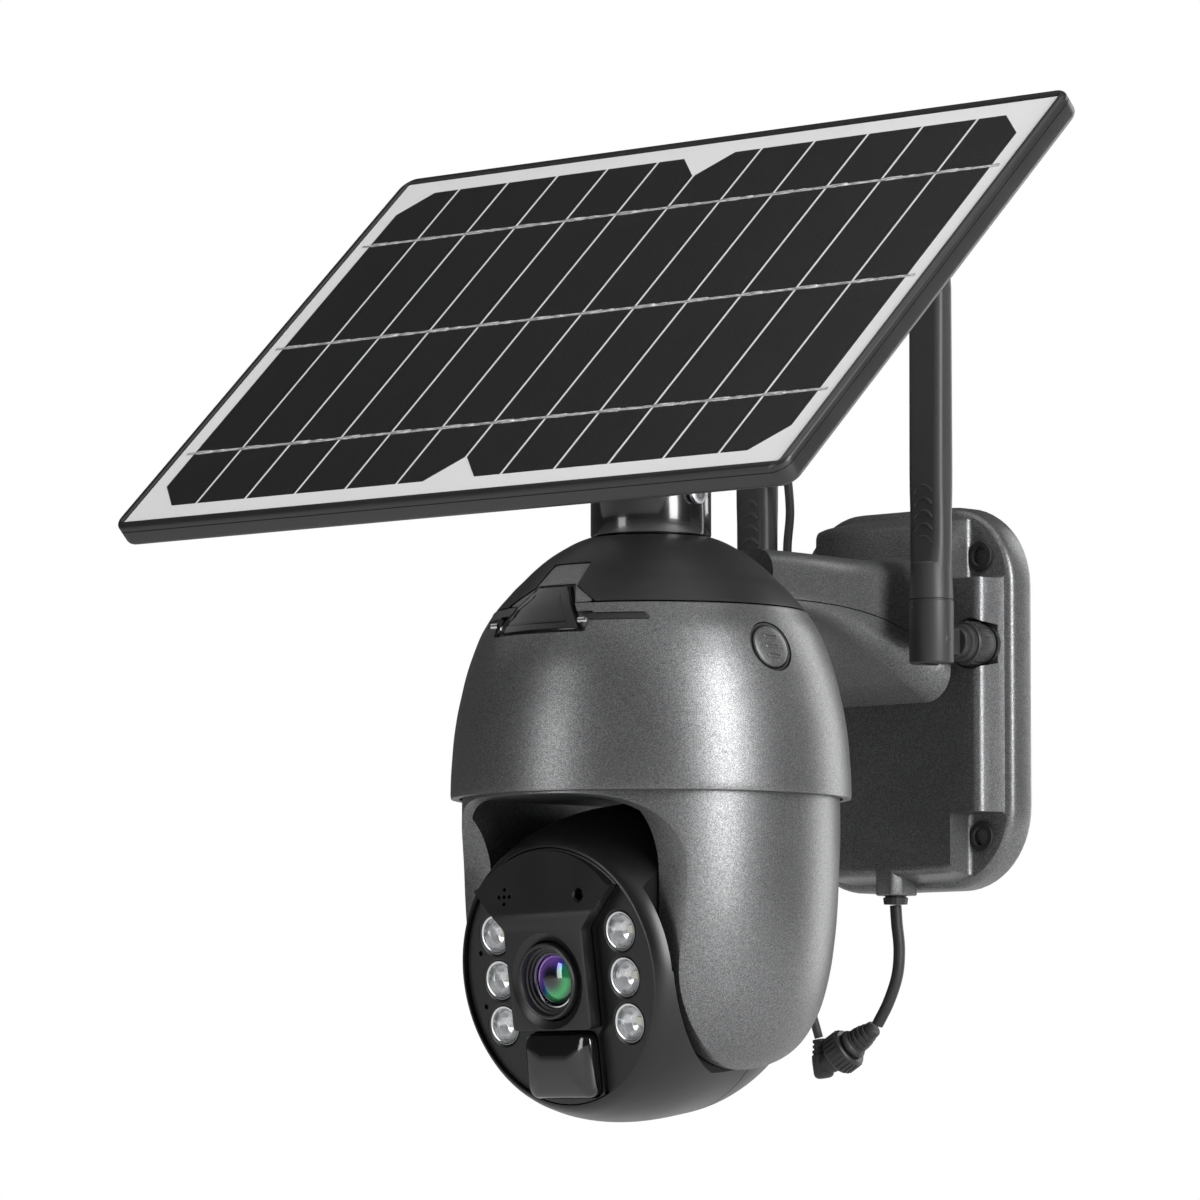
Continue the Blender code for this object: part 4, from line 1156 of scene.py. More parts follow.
@dataclass
class Arm:
    """The arm from base to housing, in two halves with a fine seam between them."""

    seam_gap: float = 0.35
    sections: tuple = (
        (-100.0, 20.5, 25.0, 45.5, 7.0), (-84.0, 20.5, 24.5, 45.5, 7.0), (-70.0, 20.5, 22.8, 45.4, 7.5),
        (-58.0, 21.0, 19.5, 45.2, 8.0), (-47.0, 22.5, 14.5, 45.0, 8.5), (-38.0, 24.5, 9.0, 45.0, 9.0),
        (-31.0, 26.5, 4.0, 45.4, 9.5), (-26.0, 28.5, 0.5, 46.2, 10.0), (-22.4, 31.0, -2.0, 48.0, 11.0))
    seam: tuple = ((-110, 28.6), (-80, 28.6), (-60, 27.2), (-45, 24.0), (-33, 18.5), (-10, 6.0))

    def skin(self) -> Solid:
        """The whole arm's shape, with smooth flanks."""
        rings = []
        for section in flowing([Vector(section) for section in self.sections], 1.9):
            y, half_w, bottom, top, radius = section
            rings.append([(x, y, z) for x, z in rounded(half_w, (top - bottom) / 2, radius, 9,
                                                       (0, (top + bottom) / 2))])
        return loft(rings)

    def under(self, lift: float) -> Solid:
        """Everything below the seam line."""
        return loft([[(x, y, z + seam + lift) for x, z in ((-60, 0), (-60, -60), (60, -60), (60, 0))]
                     for y, seam in (tuple(point) for point in flowing(self.seam, 4.0))])

    def build(self, housing_seat: Solid) -> None:
        """Make both halves.

        Args:
            housing_seat: The room that the housing takes.
        """
        upper = self.skin().cut(housing_seat, self.under(self.seam_gap))
        lower = self.skin().cut(housing_seat).keep(self.under(0.0))
        Maker.piece("arm_upper_skin", upper, GREY_PAINT, Body.FIXED, ["arm_upper"], sharp=28)
        Maker.piece("arm_lower_skin", lower, GREY_PAINT, Body.FIXED, ["arm_lower"], sharp=28)


# ---------------------------------------------------------------- housing, crown, button, neck


@dataclass
class Housing:
    """The fixed dome: grey housing, black cap and the crown at its front."""

    wall: float = 3.0
    line: tuple = ((65.7, 0.0), (65.6, 3.0), (65.5, 7.0), (65.1, 13.0), (64.5, 20.0), (63.4, 27.5),
                   (62.0, 34.0), (60.6, 40.0), (58.7, 46.0), (56.0, 53.0), (53.6, 57.4), (51.3, 61.0))
    cap_line: tuple = ((51.0, 61.35), (49.3, 63.4), (47.0, 66.0), (44.7, 68.6), (42.2, 71.0), (39.2, 74.0),
                       (35.8, 77.0), (32.4, 79.6), (28.0, 82.3), (24.4, 84.2), (21.3, 85.4))

    def smooth(self, line: Sequence[Point2]) -> list[Point2]:
        """A line's even points."""
        return [tuple(point) for point in flowing(line, 1.6)]

    def whole(self, inset: float = 0.0) -> Solid:
        """The dome as a full solid, for seats and skins."""
        points = self.smooth(self.line) + self.smooth(self.cap_line[1:])
        return turned([(0.0, points[0][1])] + [(r - inset, h) for r, h in points] + [(0.0, points[-1][1])],
                      144
                      ).placed(HOUSING_FRAME)

    @staticmethod
    def through(points: Sequence[Point2], ease: float = 0.0, steps: int = 4) -> Solid:
        """A shape cut front to back through the crown from (x, height above the rim) points."""
        outline = filleted(points, ease, steps) if ease else points
        return prism(outline, 20.0, 80.0).placed(HOUSING_FRAME @ spin(90, "X"))

    def build(self) -> None:
        """Make housing, cap and crown."""
        wall = self.wall
        skin = self.smooth(self.line)
        lip = [(64.9, -0.0), (65.45, 0.12)] + [(r, h) for r, h in skin if 0.5 < h < 60.3]
        top = [(51.85, 60.4), (51.5, 60.9), (50.9, 61.05), (50.0, 61.0)]
        inner = [(r - wall, h) for r, h in reversed(skin) if 0.6 < h < 60.0]
        shell = turned(lip + top + [(48.4, 61.0)] + inner + [(62.8, 0.0)], 160, True).placed(HOUSING_FRAME)
        cap_skin = self.smooth(self.cap_line)
        cap = turned([(50.1, 61.4), (50.75, 61.55)] + [p for p in cap_skin if p[1] > 62.0]
                     + [(20.6, 85.5), (20.3, 84.9)]
                     + [(r - wall, h) for r, h in reversed(cap_skin) if 62.0 < h < 85.0] + [(47.6, 61.4)],
                     160, True
                     ).placed(HOUSING_FRAME)
        room = self.through([(8.1, 67.9), (-8.1, 67.9), (-15.0, 58.2), (-20.6, 58.2), (-20.6, 51.3),
                             (20.6, 51.3), (20.6, 58.2), (15.0, 58.2)], 0.5, 2)
        room.cut(self.whole(2.3))
        notch = self.through([(8.2, 75.4), (-8.2, 75.4), (-9.4, 67.4), (-22.0, 60.0), (22.0, 60.0),
                              (9.4, 67.4)],
                             0.9, 4)
        strips = [block((18.5, 30, 2.6), 0.4).placed(at(sx * 28.0, 0, 0)) for sx in (-1, 1)]
        cutters = [strip.placed(at(0, AXIS_Y - 55.0, RIM_Z + 56.3)) for strip in strips]
        for cutter in cutters:
            cutter.cut(self.whole(0.9))
        ring = rod(8.65, -7, 7, 0.0, 64).placed(CallButton.frame())
        Maker.piece("upper_housing_skin", shell.cut(room, ring, *cutters), GREY_PAINT, Body.FIXED,
                    ["upper_housing"])
        Maker.piece("top_cap_skin", cap.cut(notch, room), SATIN_BLACK, Body.FIXED, ["top_cap"])
        self.crown(room)

    def crown(self, room: Solid) -> None:
        """Make the pale crown insert, the black flap, its pins, and the black strips that paint the shade in
        the shallow slots beside it.

        Args:
            room: The space that the flap swings in.
        """
        insert = self.through([(7.8, 75.0), (-7.8, 75.0), (-9.1, 67.0), (-19.0, 61.4), (19.0, 61.4),
                               (9.1, 67.0)],
                              0.8, 4)
        insert.keep(self.whole(0.55)).cut(self.whole(3.4), room)
        Maker.piece("crown_insert_skin", insert, PALE_PAINT, Body.FIXED, ["crown_insert"])
        flap = self.through([(6.9, 66.9), (-6.9, 66.9), (-18.5, 52.2), (18.5, 52.2)], 0.7, 3)
        flap.keep(self.whole(-0.55)).cut(self.whole(1.8))
        ridge = self.through([(5.4, 64.6), (-5.4, 64.6), (-13.6, 54.6), (13.6, 54.6)], 0.6, 3)
        ridge.keep(self.whole(-0.62)).cut(self.whole(0.6))
        Maker.piece("slot_cover_skin", flap.join(ridge).eased(0.22, 2, 50), GLOSS_BLACK, Body.FLAP,
                    ["slot_cover"])
        pin = turned([(0, 1.6), (0.8, 1.5), (1.0, 1.2), (1.0, -1.2), (0.8, -1.5), (0, -1.6)],
                     24).placed(spin(90, "Y"))
        pins = Repeat.of(pin, CHROME, 2, (39.0, 0, 0), (-19.5, -190.2, 16.4))
        Maker.piece("flap_pins", pins, CHROME, Body.FIXED)
        # Painted shade: a black strip fills each shallow slot, standing in for the shade inside the recess.
        for side in Side:
            strip = block((17.9, 30, 2.0), 0.3).placed(at(side.value * 28.0, AXIS_Y - 55.0, RIM_Z + 56.3))
            Maker.piece(f"side_slot_shade_{side.word}", strip.keep(self.whole(0.55)).cut(self.whole(1.6)),
                        SATIN_BLACK, Body.FIXED)


@dataclass
class CallButton:
    """The round button on the housing's right side: dark ring, domed disc and three raised bars."""

    turn_out: ClassVar[float] = 85.0
    slope: ClassVar[float] = 19.0
    reach: ClassVar[float] = 57.9

    @classmethod
    def frame(cls) -> Matrix:
        """The button's own frame, with Z out of the housing."""
        angle = math.radians(cls.turn_out)
        return at(cls.reach * math.sin(angle), AXIS_Y - cls.reach * math.cos(angle), RIM_Z + 47.2) @ \
            spin(cls.turn_out, "Z") @ spin(90 - cls.slope, "X")

    def build(self) -> None:
        """Make the seal, the button and its bars."""
        here = self.frame()
        seal = turned(filleted([(8.35, -0.5), (8.35, -5.2), (2.6, -5.2), (2.6, -4.2), (7.45, -4.2),
                                (7.45, -0.9)], 0.25,
                               3), 64, True)
        Maker.piece("button_seal_skin", seal.placed(here), SEAL_BLACK, Body.FIXED, ["button_seal"])
        disc = turned([(0, 0.55), (2.4, 0.52), (4.6, 0.40), (6.2, 0.18), (6.8, 0.0), (7.1, -0.45),
                       (7.1, -2.4), (1.6, -2.4), (1.6, -5.0), (0, -5.0)], 64)
        Maker.piece("side_button_skin", disc.placed(here), GREY_PAINT, Body.BUTTON, ["side_button"])
        bar = prism(rounded(3.0, 0.85, 0.84, 6), 0.2, 0.85, 0.25)
        hollow = prism(rounded(2.3, 0.32, 0.3, 4), 0.5, 1.4)
        bars = Repeat.of(bar.cut(hollow), GREY_PAINT, 3, (0, 3.3, 0), (0, -3.3, 0))
        Maker.piece("button_bars", bars.placed(here), GREY_PAINT, Body.BUTTON)


@dataclass
class Neck:
    """The fixed neck on the cap with its clamp screw."""

    radius: float = 19.8
    top: float = 66.0
    bottom: float = 47.2

    def build(self) -> None:
        """Make the neck, screw and the base ring."""
        tube = turned([(self.radius - 0.4, self.top), (self.radius, self.top - 0.5),
                       (self.radius, self.bottom + 0.9), (19.4, self.bottom + 0.1), (16.6, self.bottom),
                       (16.6, 43.2), (15.3, 43.2), (15.3, self.top)],
                      128, True)
        tube.placed(at(0, AXIS_Y, 0))
        tube.cut(rod(2.4, 10, 24, 0.0, 24).placed(at(0, AXIS_Y, 61.0) @ spin(90, "Y")))
        Maker.piece("neck_tube_skin", tube, NECK_BLACK, Body.FIXED, ["neck_tube"], sharp=40)
        screw = turned([(0, 22.3), (2.9, 22.3), (3.6, 21.9), (3.7, 21.3), (3.7, 20.4), (3.2, 20.1),
                        (2.05, 20.1), (2.05, 15.9), (0, 15.9)], 32)
        screw.cut(prism(circle(1.6, 6), 21.2, 23.0))
        Maker.piece("clamp_screw_skin", screw.placed(at(0, AXIS_Y, 61.0) @ spin(90, "Y")), STEEL, Body.FIXED,
                    ["clamp_screw"])


class Inside:
    """What the housing and yoke hold out of sight: CAD nodes that only need their finishes."""

    FINISHES: ClassVar[dict[str, Finish]] = {
        "pan_plate": SATIN_BLACK, "pan_motor": STEEL, "tilt_motor": STEEL, "battery_pack": BLUE_WRAP,
        "main_board": GREEN_BOARD, "speaker": SATIN_BLACK, "pan_gear": ACETAL, "tilt_gear": ACETAL,
        "pan_pinion": BRASS, "tilt_pinion": BRASS, "lamp_board": GREEN_BOARD, "trunnion_left": SATIN_BLACK,
        "trunnion_right": SATIN_BLACK, "cable_gland": CORD_BLACK}

    def build(self) -> None:
        """Dress each node."""
        for name, finish in self.FINISHES.items():
            Maker.dress_node(name, finish)


# ---------------------------------------------------------------- yoke and head


@dataclass
class Yoke:
    """The turning yoke: a dark-arched shell whose two round-ended arms hold the head."""

    line: tuple = ((61.8, 2.0), (61.9, -10.0), (61.7, -24.0), (60.9, -39.0), (59.6, -50.0), (58.4, -57.0),
                   (56.8, -64.0), (54.9, -70.0), (52.2, -76.0), (49.2, -81.0), (45.4, -85.0), (40.0, -88.5))
    arm_half: float = 36.5
    arch: float = 25.0
    inner_x: float = 37.5
    inner_r: float = 58.8

    def side_outline(self) -> list[Point2]:
        """The yoke seen from the side, as (forward, height) about the tilt axis."""
        top = RIM_Z - TILT_Z
        outline: list[Point2] = []
        for sign in (1, -1):
            side = [(sign * 70.0, top + 3.0), (sign * 70.0, top - 0.6)]
            for i in range(25):
                angle = math.radians(90 * i / 24)
                side.append((sign * (self.arm_half + self.arch * (1 - math.sin(angle))),
                             top - 0.6 - self.arch * (1 - math.cos(angle))))
            side += [(sign * self.arm_half * math.cos(math.radians(5 * i)),
                      -self.arm_half * math.sin(math.radians(5 * i))) for i in range(18)]
            outline += side if sign > 0 else [(0.0, -self.arm_half)] + side[::-1]
        return outline

    def build(self) -> None:
        """Make the yoke, with its edges eased round the lip of its arch."""
        points = [tuple(point) for point in flowing(self.line, 2.0)]
        shell = turned([(0, 2.0)] + points + [(0, points[-1][1])], 160).placed(HOUSING_FRAME)
        shell.keep(prism(self.side_outline(), -70.0, 70.0).placed(
            at(0, AXIS_Y, TILT_Z) @ spin(-90, "Z") @ spin(90, "X")))
        cavity = rod(self.inner_r, -95.0, -0.4, 0.0, 128).placed(HOUSING_FRAME)
        cavity.keep(block((2 * self.inner_x, 140, 120)).placed(at(0, AXIS_Y, RIM_Z - 58)))
        tools = [cavity, rod(12.0, -3, 7).placed(HOUSING_FRAME)]
        for sign in (-1, 1):
            tools.append(rod(25.0, -0.5, 10.9, 0.0, 96).placed(
                at(sign * self.inner_x, AXIS_Y, TILT_Z) @ spin(90 * sign, "Y")))
        shell.cut(*tools).eased(0.9, 3, 38)
        hub = turned([(20.0, -22.0), (20.0, -37.0), (12.0, -37.0), (12.0, -22.0)], 64,
                     True).placed(at(0, AXIS_Y, 0))
        Maker.piece("yoke_skin", shell.with_loose(hub), GREY_PAINT, Body.YOKE, ["yoke"], sharp=30)


@dataclass
class Head:
    """The tilting black head: two shells, stepped face, lens, six lamps, sensor window and small holes."""

    line: tuple = ((42.9, 44.5), (44.4, 42.4), (45.6, 40.0), (47.9, 34.0), (49.9, 26.0), (51.2, 16.0),
                   (51.5, 4.0), (50.9, -8.0), (47.5, -20.0), (41.9, -30.0), (32.4, -40.0), (21.0, -47.0),
                   (7.4, -51.0))
    wall: float = 2.6
    flat_x: float = 36.7
    face_d: float = 44.5
    face_r: float = 41.6
    lens_w: float = -1.0
    lamp_x: float = 27.8
    lamp_w: tuple = (13.8, -1.0, -15.8)

    def shells(self) -> None:
        """Make the front and rear shells."""
        points = [tuple(point) for point in flowing(self.line, 2.2)]
        edge = [(0.0, 44.5), (42.3, 44.5), (42.85, 44.25)] + [p for p in points if p[1] < 43.6]
        solid = turned(edge + [(0.0, -51.5)], 144).placed(FACE_FRAME)
        inner = turned([(0.0, 41.2)] + [(max(r - self.wall, 0.1), min(h, 41.2)) for r, h in points[1:-4]]
                       + [(0.0, -48.0)], 96).placed(FACE_FRAME)
        tools = [rod(self.face_r + 0.3, 40.9, 50.0, 0.0, 128).placed(FACE_FRAME)]
        for sign in (-1, 1):
            side = HEAD_FRAME @ at(sign * self.flat_x, 0, 0) @ spin(90 * sign, "Y")
            tools.append(rod(39.2, 0.0, 30.0, 0.0, 128).placed(side))
            tools.append(rod(8.3, -9.0, 3.0, 0.0, 48).placed(side))
            tools.append(block((30, 100, 60))
                         .placed(HEAD_FRAME @ at(sign * (self.flat_x + 15.04), 50 - 39.6, 30)))
            inner.cut(rod(41.8, -self.wall, 30.0, 0.0, 96).placed(side))
            inner.cut(block((30, 100, 60)).placed(HEAD_FRAME @ at(
                sign * (self.flat_x + 15.06 - self.wall), 50 - 39.6 - self.wall, 30 - self.wall)))
        solid.cut(inner, *tools)
        front = solid.copy().cut(block((120, 60, 120)).placed(HEAD_FRAME @ at(0, 32, 0)))
        rear = solid.cut(block((120, 60, 120)).placed(HEAD_FRAME @ at(0, -28 + 0.35, 0)))
        Maker.piece("head_front_skin", front, HEAD_BLACK, Body.HEAD, ["head_front"])
        Maker.piece("head_rear_skin", rear, HEAD_BLACK, Body.HEAD, ["head_rear"])

    def face(self) -> None:
        """Make the face disc, the raised middle and the sensor window."""
        d = self.face_d
        disc = rod(self.face_r, d - 3.0, d, 0.5, 144)
        for sign in (-1, 1):
            zone = [(17.6, 15.5), (31.5, 29.5), (60.0, 29.5), (60.0, -50.0), (15.5, -50.0), (15.5, -19.0),
                    (17.6, -16.5)]
            disc.cut(prism(filleted([(sign * x, w) for x, w in zone][::sign], 1.2, 4), d - 1.6, d + 3.0))
            for w in self.lamp_w:
                disc.cut(turned([(0, d + 2), (7.2, d + 2), (7.2, d - 1.75), (6.6, d - 2.0), (6.6, d - 9),
                                 (0, d - 9)],
                                48).placed(at(sign * self.lamp_x, w, 0)))
        window_room = rounded(15.0, 11.0, 3.7, 6, (0, -28.6))
        disc.cut(rod(12.9, d - 9, d + 6, 0.0, 64).placed(at(0, self.lens_w, 0)),
                 prism(window_room, d - 6, d + 6),
                 rod(0.9, d - 2.6, d + 4, 0.0, 16).placed(at(-35.0, -9.5, 0)),
                 rod(0.9, d - 2.6, d + 4, 0.0, 16).placed(at(-35.0, 8.0, 0)))
        Maker.piece("face_plate_skin", disc.placed(FACE_FRAME), HEAD_BLACK, Body.HEAD, ["face_plate"])

        outline = [(-17.2, -16.9), (17.2, -16.9), (17.2, 15.6), (30.5, 29.0)]
        outline += [(41.0 * math.sin(math.radians(a)), 41.0 * math.cos(math.radians(a)))
                    for a in range(44, -45, -4)]
        outline += [(-30.5, 29.0), (-17.2, 15.6)]
        radii = [1.5, 1.5, 2.5, 1.2] + [0.0] * 23 + [1.2, 2.5]
        raised = prism(filleted(outline, radii, 4), d + 0.3, d + 5.3, 0.7, 3)
        raised.cut(loft([[(x, w, d + out) for out, w in ((5.45, 18.0), (5.0, 22.0), (1.3, 41.0), (12.0, 41.0),
                                                         (12.0, 18.0))] for x in (-60, 60)]))
        raised.cut(turned([(0, d + 9), (15.6, d + 9), (15.6, d + 5.2), (14.6, d + 4.6), (13.1, d + 3.9),
                           (12.9, d), (0, d)], 96).placed(at(0, self.lens_w, 0)))
        raised.cut(turned([(0, d + 9), (2.5, d + 9), (2.5, d + 4.3), (1.9, d + 3.4), (1.9, d + 0.5),
                           (0, d + 0.5)], 32)
                   .placed(at(16.4, 26.6, 0)))
        grain = rod(0.7, d + 1.8, d + 9, 0.0, 12)
        dots = Repeat.of(grain.copy(), SHADOW_BLACK, 3, (0, 2.3, 0), (-16.4, 24.3, 0)).with_loose(
            Repeat.of(grain.copy(), SHADOW_BLACK, 2, (4.6, 0, 0), (-18.7, 26.6, 0)))
        raised.cut(dots)
        Maker.piece("face_raised_skin", raised.placed(FACE_FRAME), HEAD_BLACK, Body.HEAD, ["face_raised"])
        eye = turned([(0, d + 1.6), (1.0, d + 1.5), (1.7, d + 0.9), (1.7, d + 0.4), (0, d + 0.4)], 24)
        Maker.piece("light_sensor", eye.placed(FACE_FRAME @ at(16.4, 26.6, 0)), GLOSS_BLACK, Body.HEAD)

        rings = []
        for out, inset in ((-2.6, 0.0), (1.6, 0.0), (2.8, 0.12), (3.6, 0.5), (4.2, 1.1), (4.8, 2.4),
                           (5.3, 4.4), (5.7, 7.0), (5.85, 9.0)):
            rings.append([(x, w, d + out) for x, w in rounded(
                14.6 - inset, 10.6 - inset, max(1.2, 3.6 - inset * 0.25), 7, (0, -28.6))])
        window = loft(rings).keep(rod(self.face_r - 0.3, d - 9, d + 30, 0.0, 144))
        Maker.piece("sensor_window_skin", window.placed(FACE_FRAME), GLOSS_BLACK, Body.HEAD,
                    ["sensor_window"])

    def lens(self) -> None:
        """Make the lens barrel with its stepped rings and the coated glass with its painted reflection."""
        d, middle = self.face_d, FACE_FRAME @ at(0, self.lens_w, 0)
        barrel = turned([(11.6, d + 6.0), (12.2, d + 5.8), (12.45, d + 5.2), (12.5, d - 18.0),
                         (8.6, d - 18.0), (8.6, d + 1.6), (9.2, d + 1.7), (9.25, d + 2.6), (10.0, d + 2.7),
                         (10.05, d + 3.6), (10.8, d + 3.75), (10.9, d + 5.2), (11.2, d + 5.8)], 96, True)
        Maker.piece("lens_barrel_skin", barrel.placed(middle), SATIN_BLACK, Body.HEAD, ["lens_barrel"],
                    sharp=25)
        glass = turned([(0, d + 3.55), (1.6, d + 3.5), (3.2, d + 3.3), (4.8, d + 2.85), (6.2, d + 2.25),
                        (7.4, d + 1.5), (8.2, d + 0.8), (8.2, d - 2.4), (0, d - 2.4)], 96)
        Maker.piece("lens_glass_skin", glass.placed(middle), LENS, Body.HEAD, ["lens_glass"])
        trim = turned([(8.9, d + 1.75), (8.9, d + 2.0), (8.5, d + 2.05), (8.25, d + 1.5), (8.25, d + 1.2)],
                      96, True)
        Maker.piece("lens_trim", trim.placed(middle), CHROME, Body.HEAD)

    def lamps(self) -> None:
        """Make the six lamps: chrome cup, pale chip and clear dome, repeated down both sides."""
        d = self.face_d - 2.4
        cup = turned(filleted([(6.3, d + 0.6), (6.3, d - 5.0), (1.6, d - 5.0), (1.6, d - 4.4), (3.4, d - 3.9),
                               (4.9, d - 2.0), (5.6, d + 0.4)], 0.15, 2), 40, True)
        chip = block((2.6, 2.6, 0.9), 0.2).placed(at(0, 0, d - 4.2))
        dome = turned([(0, d + 1.75), (1.3, d + 1.6), (2.6, d + 1.15), (3.7, d + 0.4), (4.6, d - 0.6),
                       (5.0, d - 1.6), (4.6, d - 1.9), (0, d - 2.2)], 40)
        drop = self.lamp_w[1] - self.lamp_w[0]
        for name, item, finish in (("lamp_cups", cup, CHROME), ("lamp_chips", chip, EMITTER),
                                   ("lamp_domes", dome, CLEAR)):
            rows = [Repeat.of(item, finish, 3, (0, drop, 0), (side.value * self.lamp_x, self.lamp_w[0], 0))
                    for side in Side]
            stands_for = [f"lamp_{i}" for i in range(1, 7)] if name == "lamp_domes" else []
            Maker.piece(name, rows[0].with_loose(rows[1]).placed(FACE_FRAME), finish, Body.HEAD, stands_for)

    def build(self) -> None:
        """Make the whole head."""
        self.shells()
        self.face()
        self.lens()
        self.lamps()


# ---------------------------------------------------------------- solar panel and its mount


@dataclass
class SolarPanel:
    """The solar panel: black frame, white back sheet, twelve cell strips, three busbars and rear box."""

    half_l: float = 150.0
    half_w: float = 95.5
    corner: float = 6.0
    face: float = 50.6
    depth: float = 9.0
    lip: float = 3.0
    laminate: float = 3.6
    gap: float = 0.35
    strip: float = 22.3
    pitch: float = 23.4
    strip_l: float = 170.0
    notch: float = 11.0
    busbar: float = 56.5

    @property
    def underside(self) -> float:
        """Height of the bracket's seat behind the laminate."""
        return self.face - self.laminate - self.gap

    def frame(self) -> None:
        """Make the frame with its rounded profile and fine side groove."""
        top, half_l, half_w = self.face + 0.8, self.half_l, self.half_w
        rings = []
        for down, inset in ((0.0, 1.3), (0.12, 0.85), (0.4, 0.4), (0.8, 0.12), (1.3, 0.0), (2.2, 0.0),
                            (2.3, 0.25), (2.6, 0.25), (2.7, 0.0), (self.depth - 2.2, 0.0),
                            (self.depth - 1.4, 0.2), (self.depth - 0.7, 0.75), (self.depth - 0.2, 1.4),
                            (self.depth, 2.1)):
            rings.append([(x, y, top - down) for x, y in rounded(half_l - inset, half_w - inset,
                                                                self.corner - inset * 0.8, 10)])
        body = loft(rings)
        opening = rounded(half_l - self.lip, half_w - self.lip, 0.6, 2)
        body.cut(prism(opening, self.face - 30, self.face + 10))
        body.cut(loft([[(x, y, z) for x, y in rounded(half_l - self.lip + out, half_w - self.lip + out,
                                                      0.6 + out, 3)]
                       for z, out in ((top - 0.5, 0.0), (top + 0.2, 0.5))]))
        Maker.piece("panel_frame_skin", body.placed(GLASS_FRAME), FRAME_BLACK, Body.PANEL, ["panel_frame"])

    def strip_outline(self, cut_corners: bool) -> list[Point2]:
        """One cell strip's outline, with two of its corners cut where it ends a cell.

        Args:
            cut_corners: Whether its -X corners are cut.

        Returns:
            Its points.
        """
        half_x, half_y = self.strip / 2, self.strip_l / 2
        if not cut_corners:
            return [(half_x, half_y), (-half_x, half_y), (-half_x, -half_y), (half_x, -half_y)]
        notch = self.notch
        return [(half_x, half_y), (-half_x + notch, half_y), (-half_x, half_y - notch),
                (-half_x, notch - half_y), (-half_x + notch, -half_y), (half_x, -half_y)]

    def cells(self) -> None:
        """Make the back sheet and the strips, in two cells of six."""
        face, middle = self.face, -5.5 * self.pitch
        inner_l, inner_w = self.half_l - self.lip - self.gap, self.half_w - self.lip - self.gap
        sheet = prism(rounded(inner_l, inner_w, 0.5, 2), face - self.laminate, face)
        Maker.piece("back_sheet", sheet.placed(GLASS_FRAME), WHITE_SHEET, Body.PANEL, ["panel_laminate"])
        plain = prism(self.strip_outline(False), face - 0.05, face + 0.06)
        ended = prism(self.strip_outline(True), face - 0.05, face + 0.06)
        far_end = ended.copy().placed(spin(180, "Z"))
        step = (self.pitch, 0, 0)
        strips = Repeat.of(plain, CELL, 4, step, (middle + self.pitch, 0, 0)).with_loose(
            Repeat.of(plain, CELL, 4, step, (middle + 7 * self.pitch, 0, 0)),
            Repeat.of(ended, CELL, 2, (6 * self.pitch, 0, 0), (middle, 0, 0)),
            Repeat.of(far_end, CELL, 2, (6 * self.pitch, 0, 0), (middle + 5 * self.pitch, 0, 0)))
        Maker.piece("cell_strips", strips.placed(GLASS_FRAME), CELL, Body.PANEL, sheet=GLASS_FRAME)

    def busbars(self) -> None:
        """Make the three ribbons and the solder patches along them."""
        top, middle = self.face + 0.06, -5.5 * self.pitch
        ribbon = prism(rounded(143.5, 0.6, 0.2, 2), top - 0.03, top + 0.07)
        bars = Repeat.of(ribbon, RIBBON, 3, (0, self.busbar, 0), (0, -self.busbar, 0))
        patch = prism(rounded(3.6, 0.85, 0.4, 2), top, top + 0.2, 0.08)
        rows = [Repeat.of(patch, RIBBON, 12, (self.pitch, 0, 0), (middle - 6.4, k * self.busbar, 0))
                for k in (-1, 0, 1)]
        dash = prism(rounded(1.5, 0.75, 0.3, 2), top, top + 0.14, 0.05)
        rows += [Repeat.of(dash, RIBBON, 24, (self.pitch / 2, 0, 0), (middle + 1.2, k * self.busbar, 0))
                 for k in (-1, 0, 1)]
        Maker.piece("busbars", bars.with_loose(*rows).placed(GLASS_FRAME), RIBBON, Body.PANEL,
                    sheet=GLASS_FRAME)

    def box(self) -> None:
        """Make the cable box behind the panel, its ribs and its screws."""
        low = self.underside - 13.0
        body = prism(rounded(23.0, 17.0, 3.0, 6, (0, 58.0)), low, self.underside, 1.0, 3)
        body.cut(prism(rounded(25.0, 19.0, 3.0, 4, (0, 58.0)), low + 4.2, low + 4.6).cut(
            prism(rounded(22.7, 16.7, 2.7, 6, (0, 58.0)), low + 3, low + 6)))
        gland = turned([(0, 8.0), (2.2, 8.0), (2.2, 6.8), (3.6, 6.8), (3.6, 2.5), (3.3, 0.8), (3.0, 0.6),
                        (2.9, -1.0), (2.6, -1.2), (2.6, -2.8), (2.4, -3.0), (2.4, -6.0), (0, -6.0)], 40)
        body.join(gland.placed(at(-29.0, 58.0, self.underside - 6.5) @ spin(90, "Y")))
        Maker.piece("junction_box_skin", body.placed(PANEL_FRAME), FRAME_BLACK, Body.PANEL, ["junction_box"])
        rib = prism(rounded(14.0, 0.6, 0.5, 4), low - 0.5, low + 0.2, 0.15)
        ribs = Repeat.of(rib, FRAME_BLACK, 5, (0, 4.4, 0), (0, 49.2, 0))
        Maker.piece("box_ribs", ribs.placed(PANEL_FRAME), FRAME_BLACK, Body.PANEL)
        screw = turned([(0, -0.4), (1.5, -0.4), (1.9, -0.1), (1.9, 0.4), (0, 0.4)], 24)
        screw.cut(block((2.6, 0.5, 1.0)).placed(at(0, 0, -0.5)),
                  block((0.5, 2.6, 1.0)).placed(at(0, 0, -0.5)))
        pair = Repeat.of(screw, STEEL, 2, (38.0, 0, 0), (-19.0, 45.0, low)).with_loose(
            Repeat.of(screw, STEEL, 2, (38.0, 0, 0), (-19.0, 71.0, low)))
        Maker.piece("box_screws", pair.placed(PANEL_FRAME), STEEL, Body.PANEL)

    def build(self) -> None:
        """Make the whole panel."""
        self.frame()
        self.cells()
        self.busbars()
        self.box()


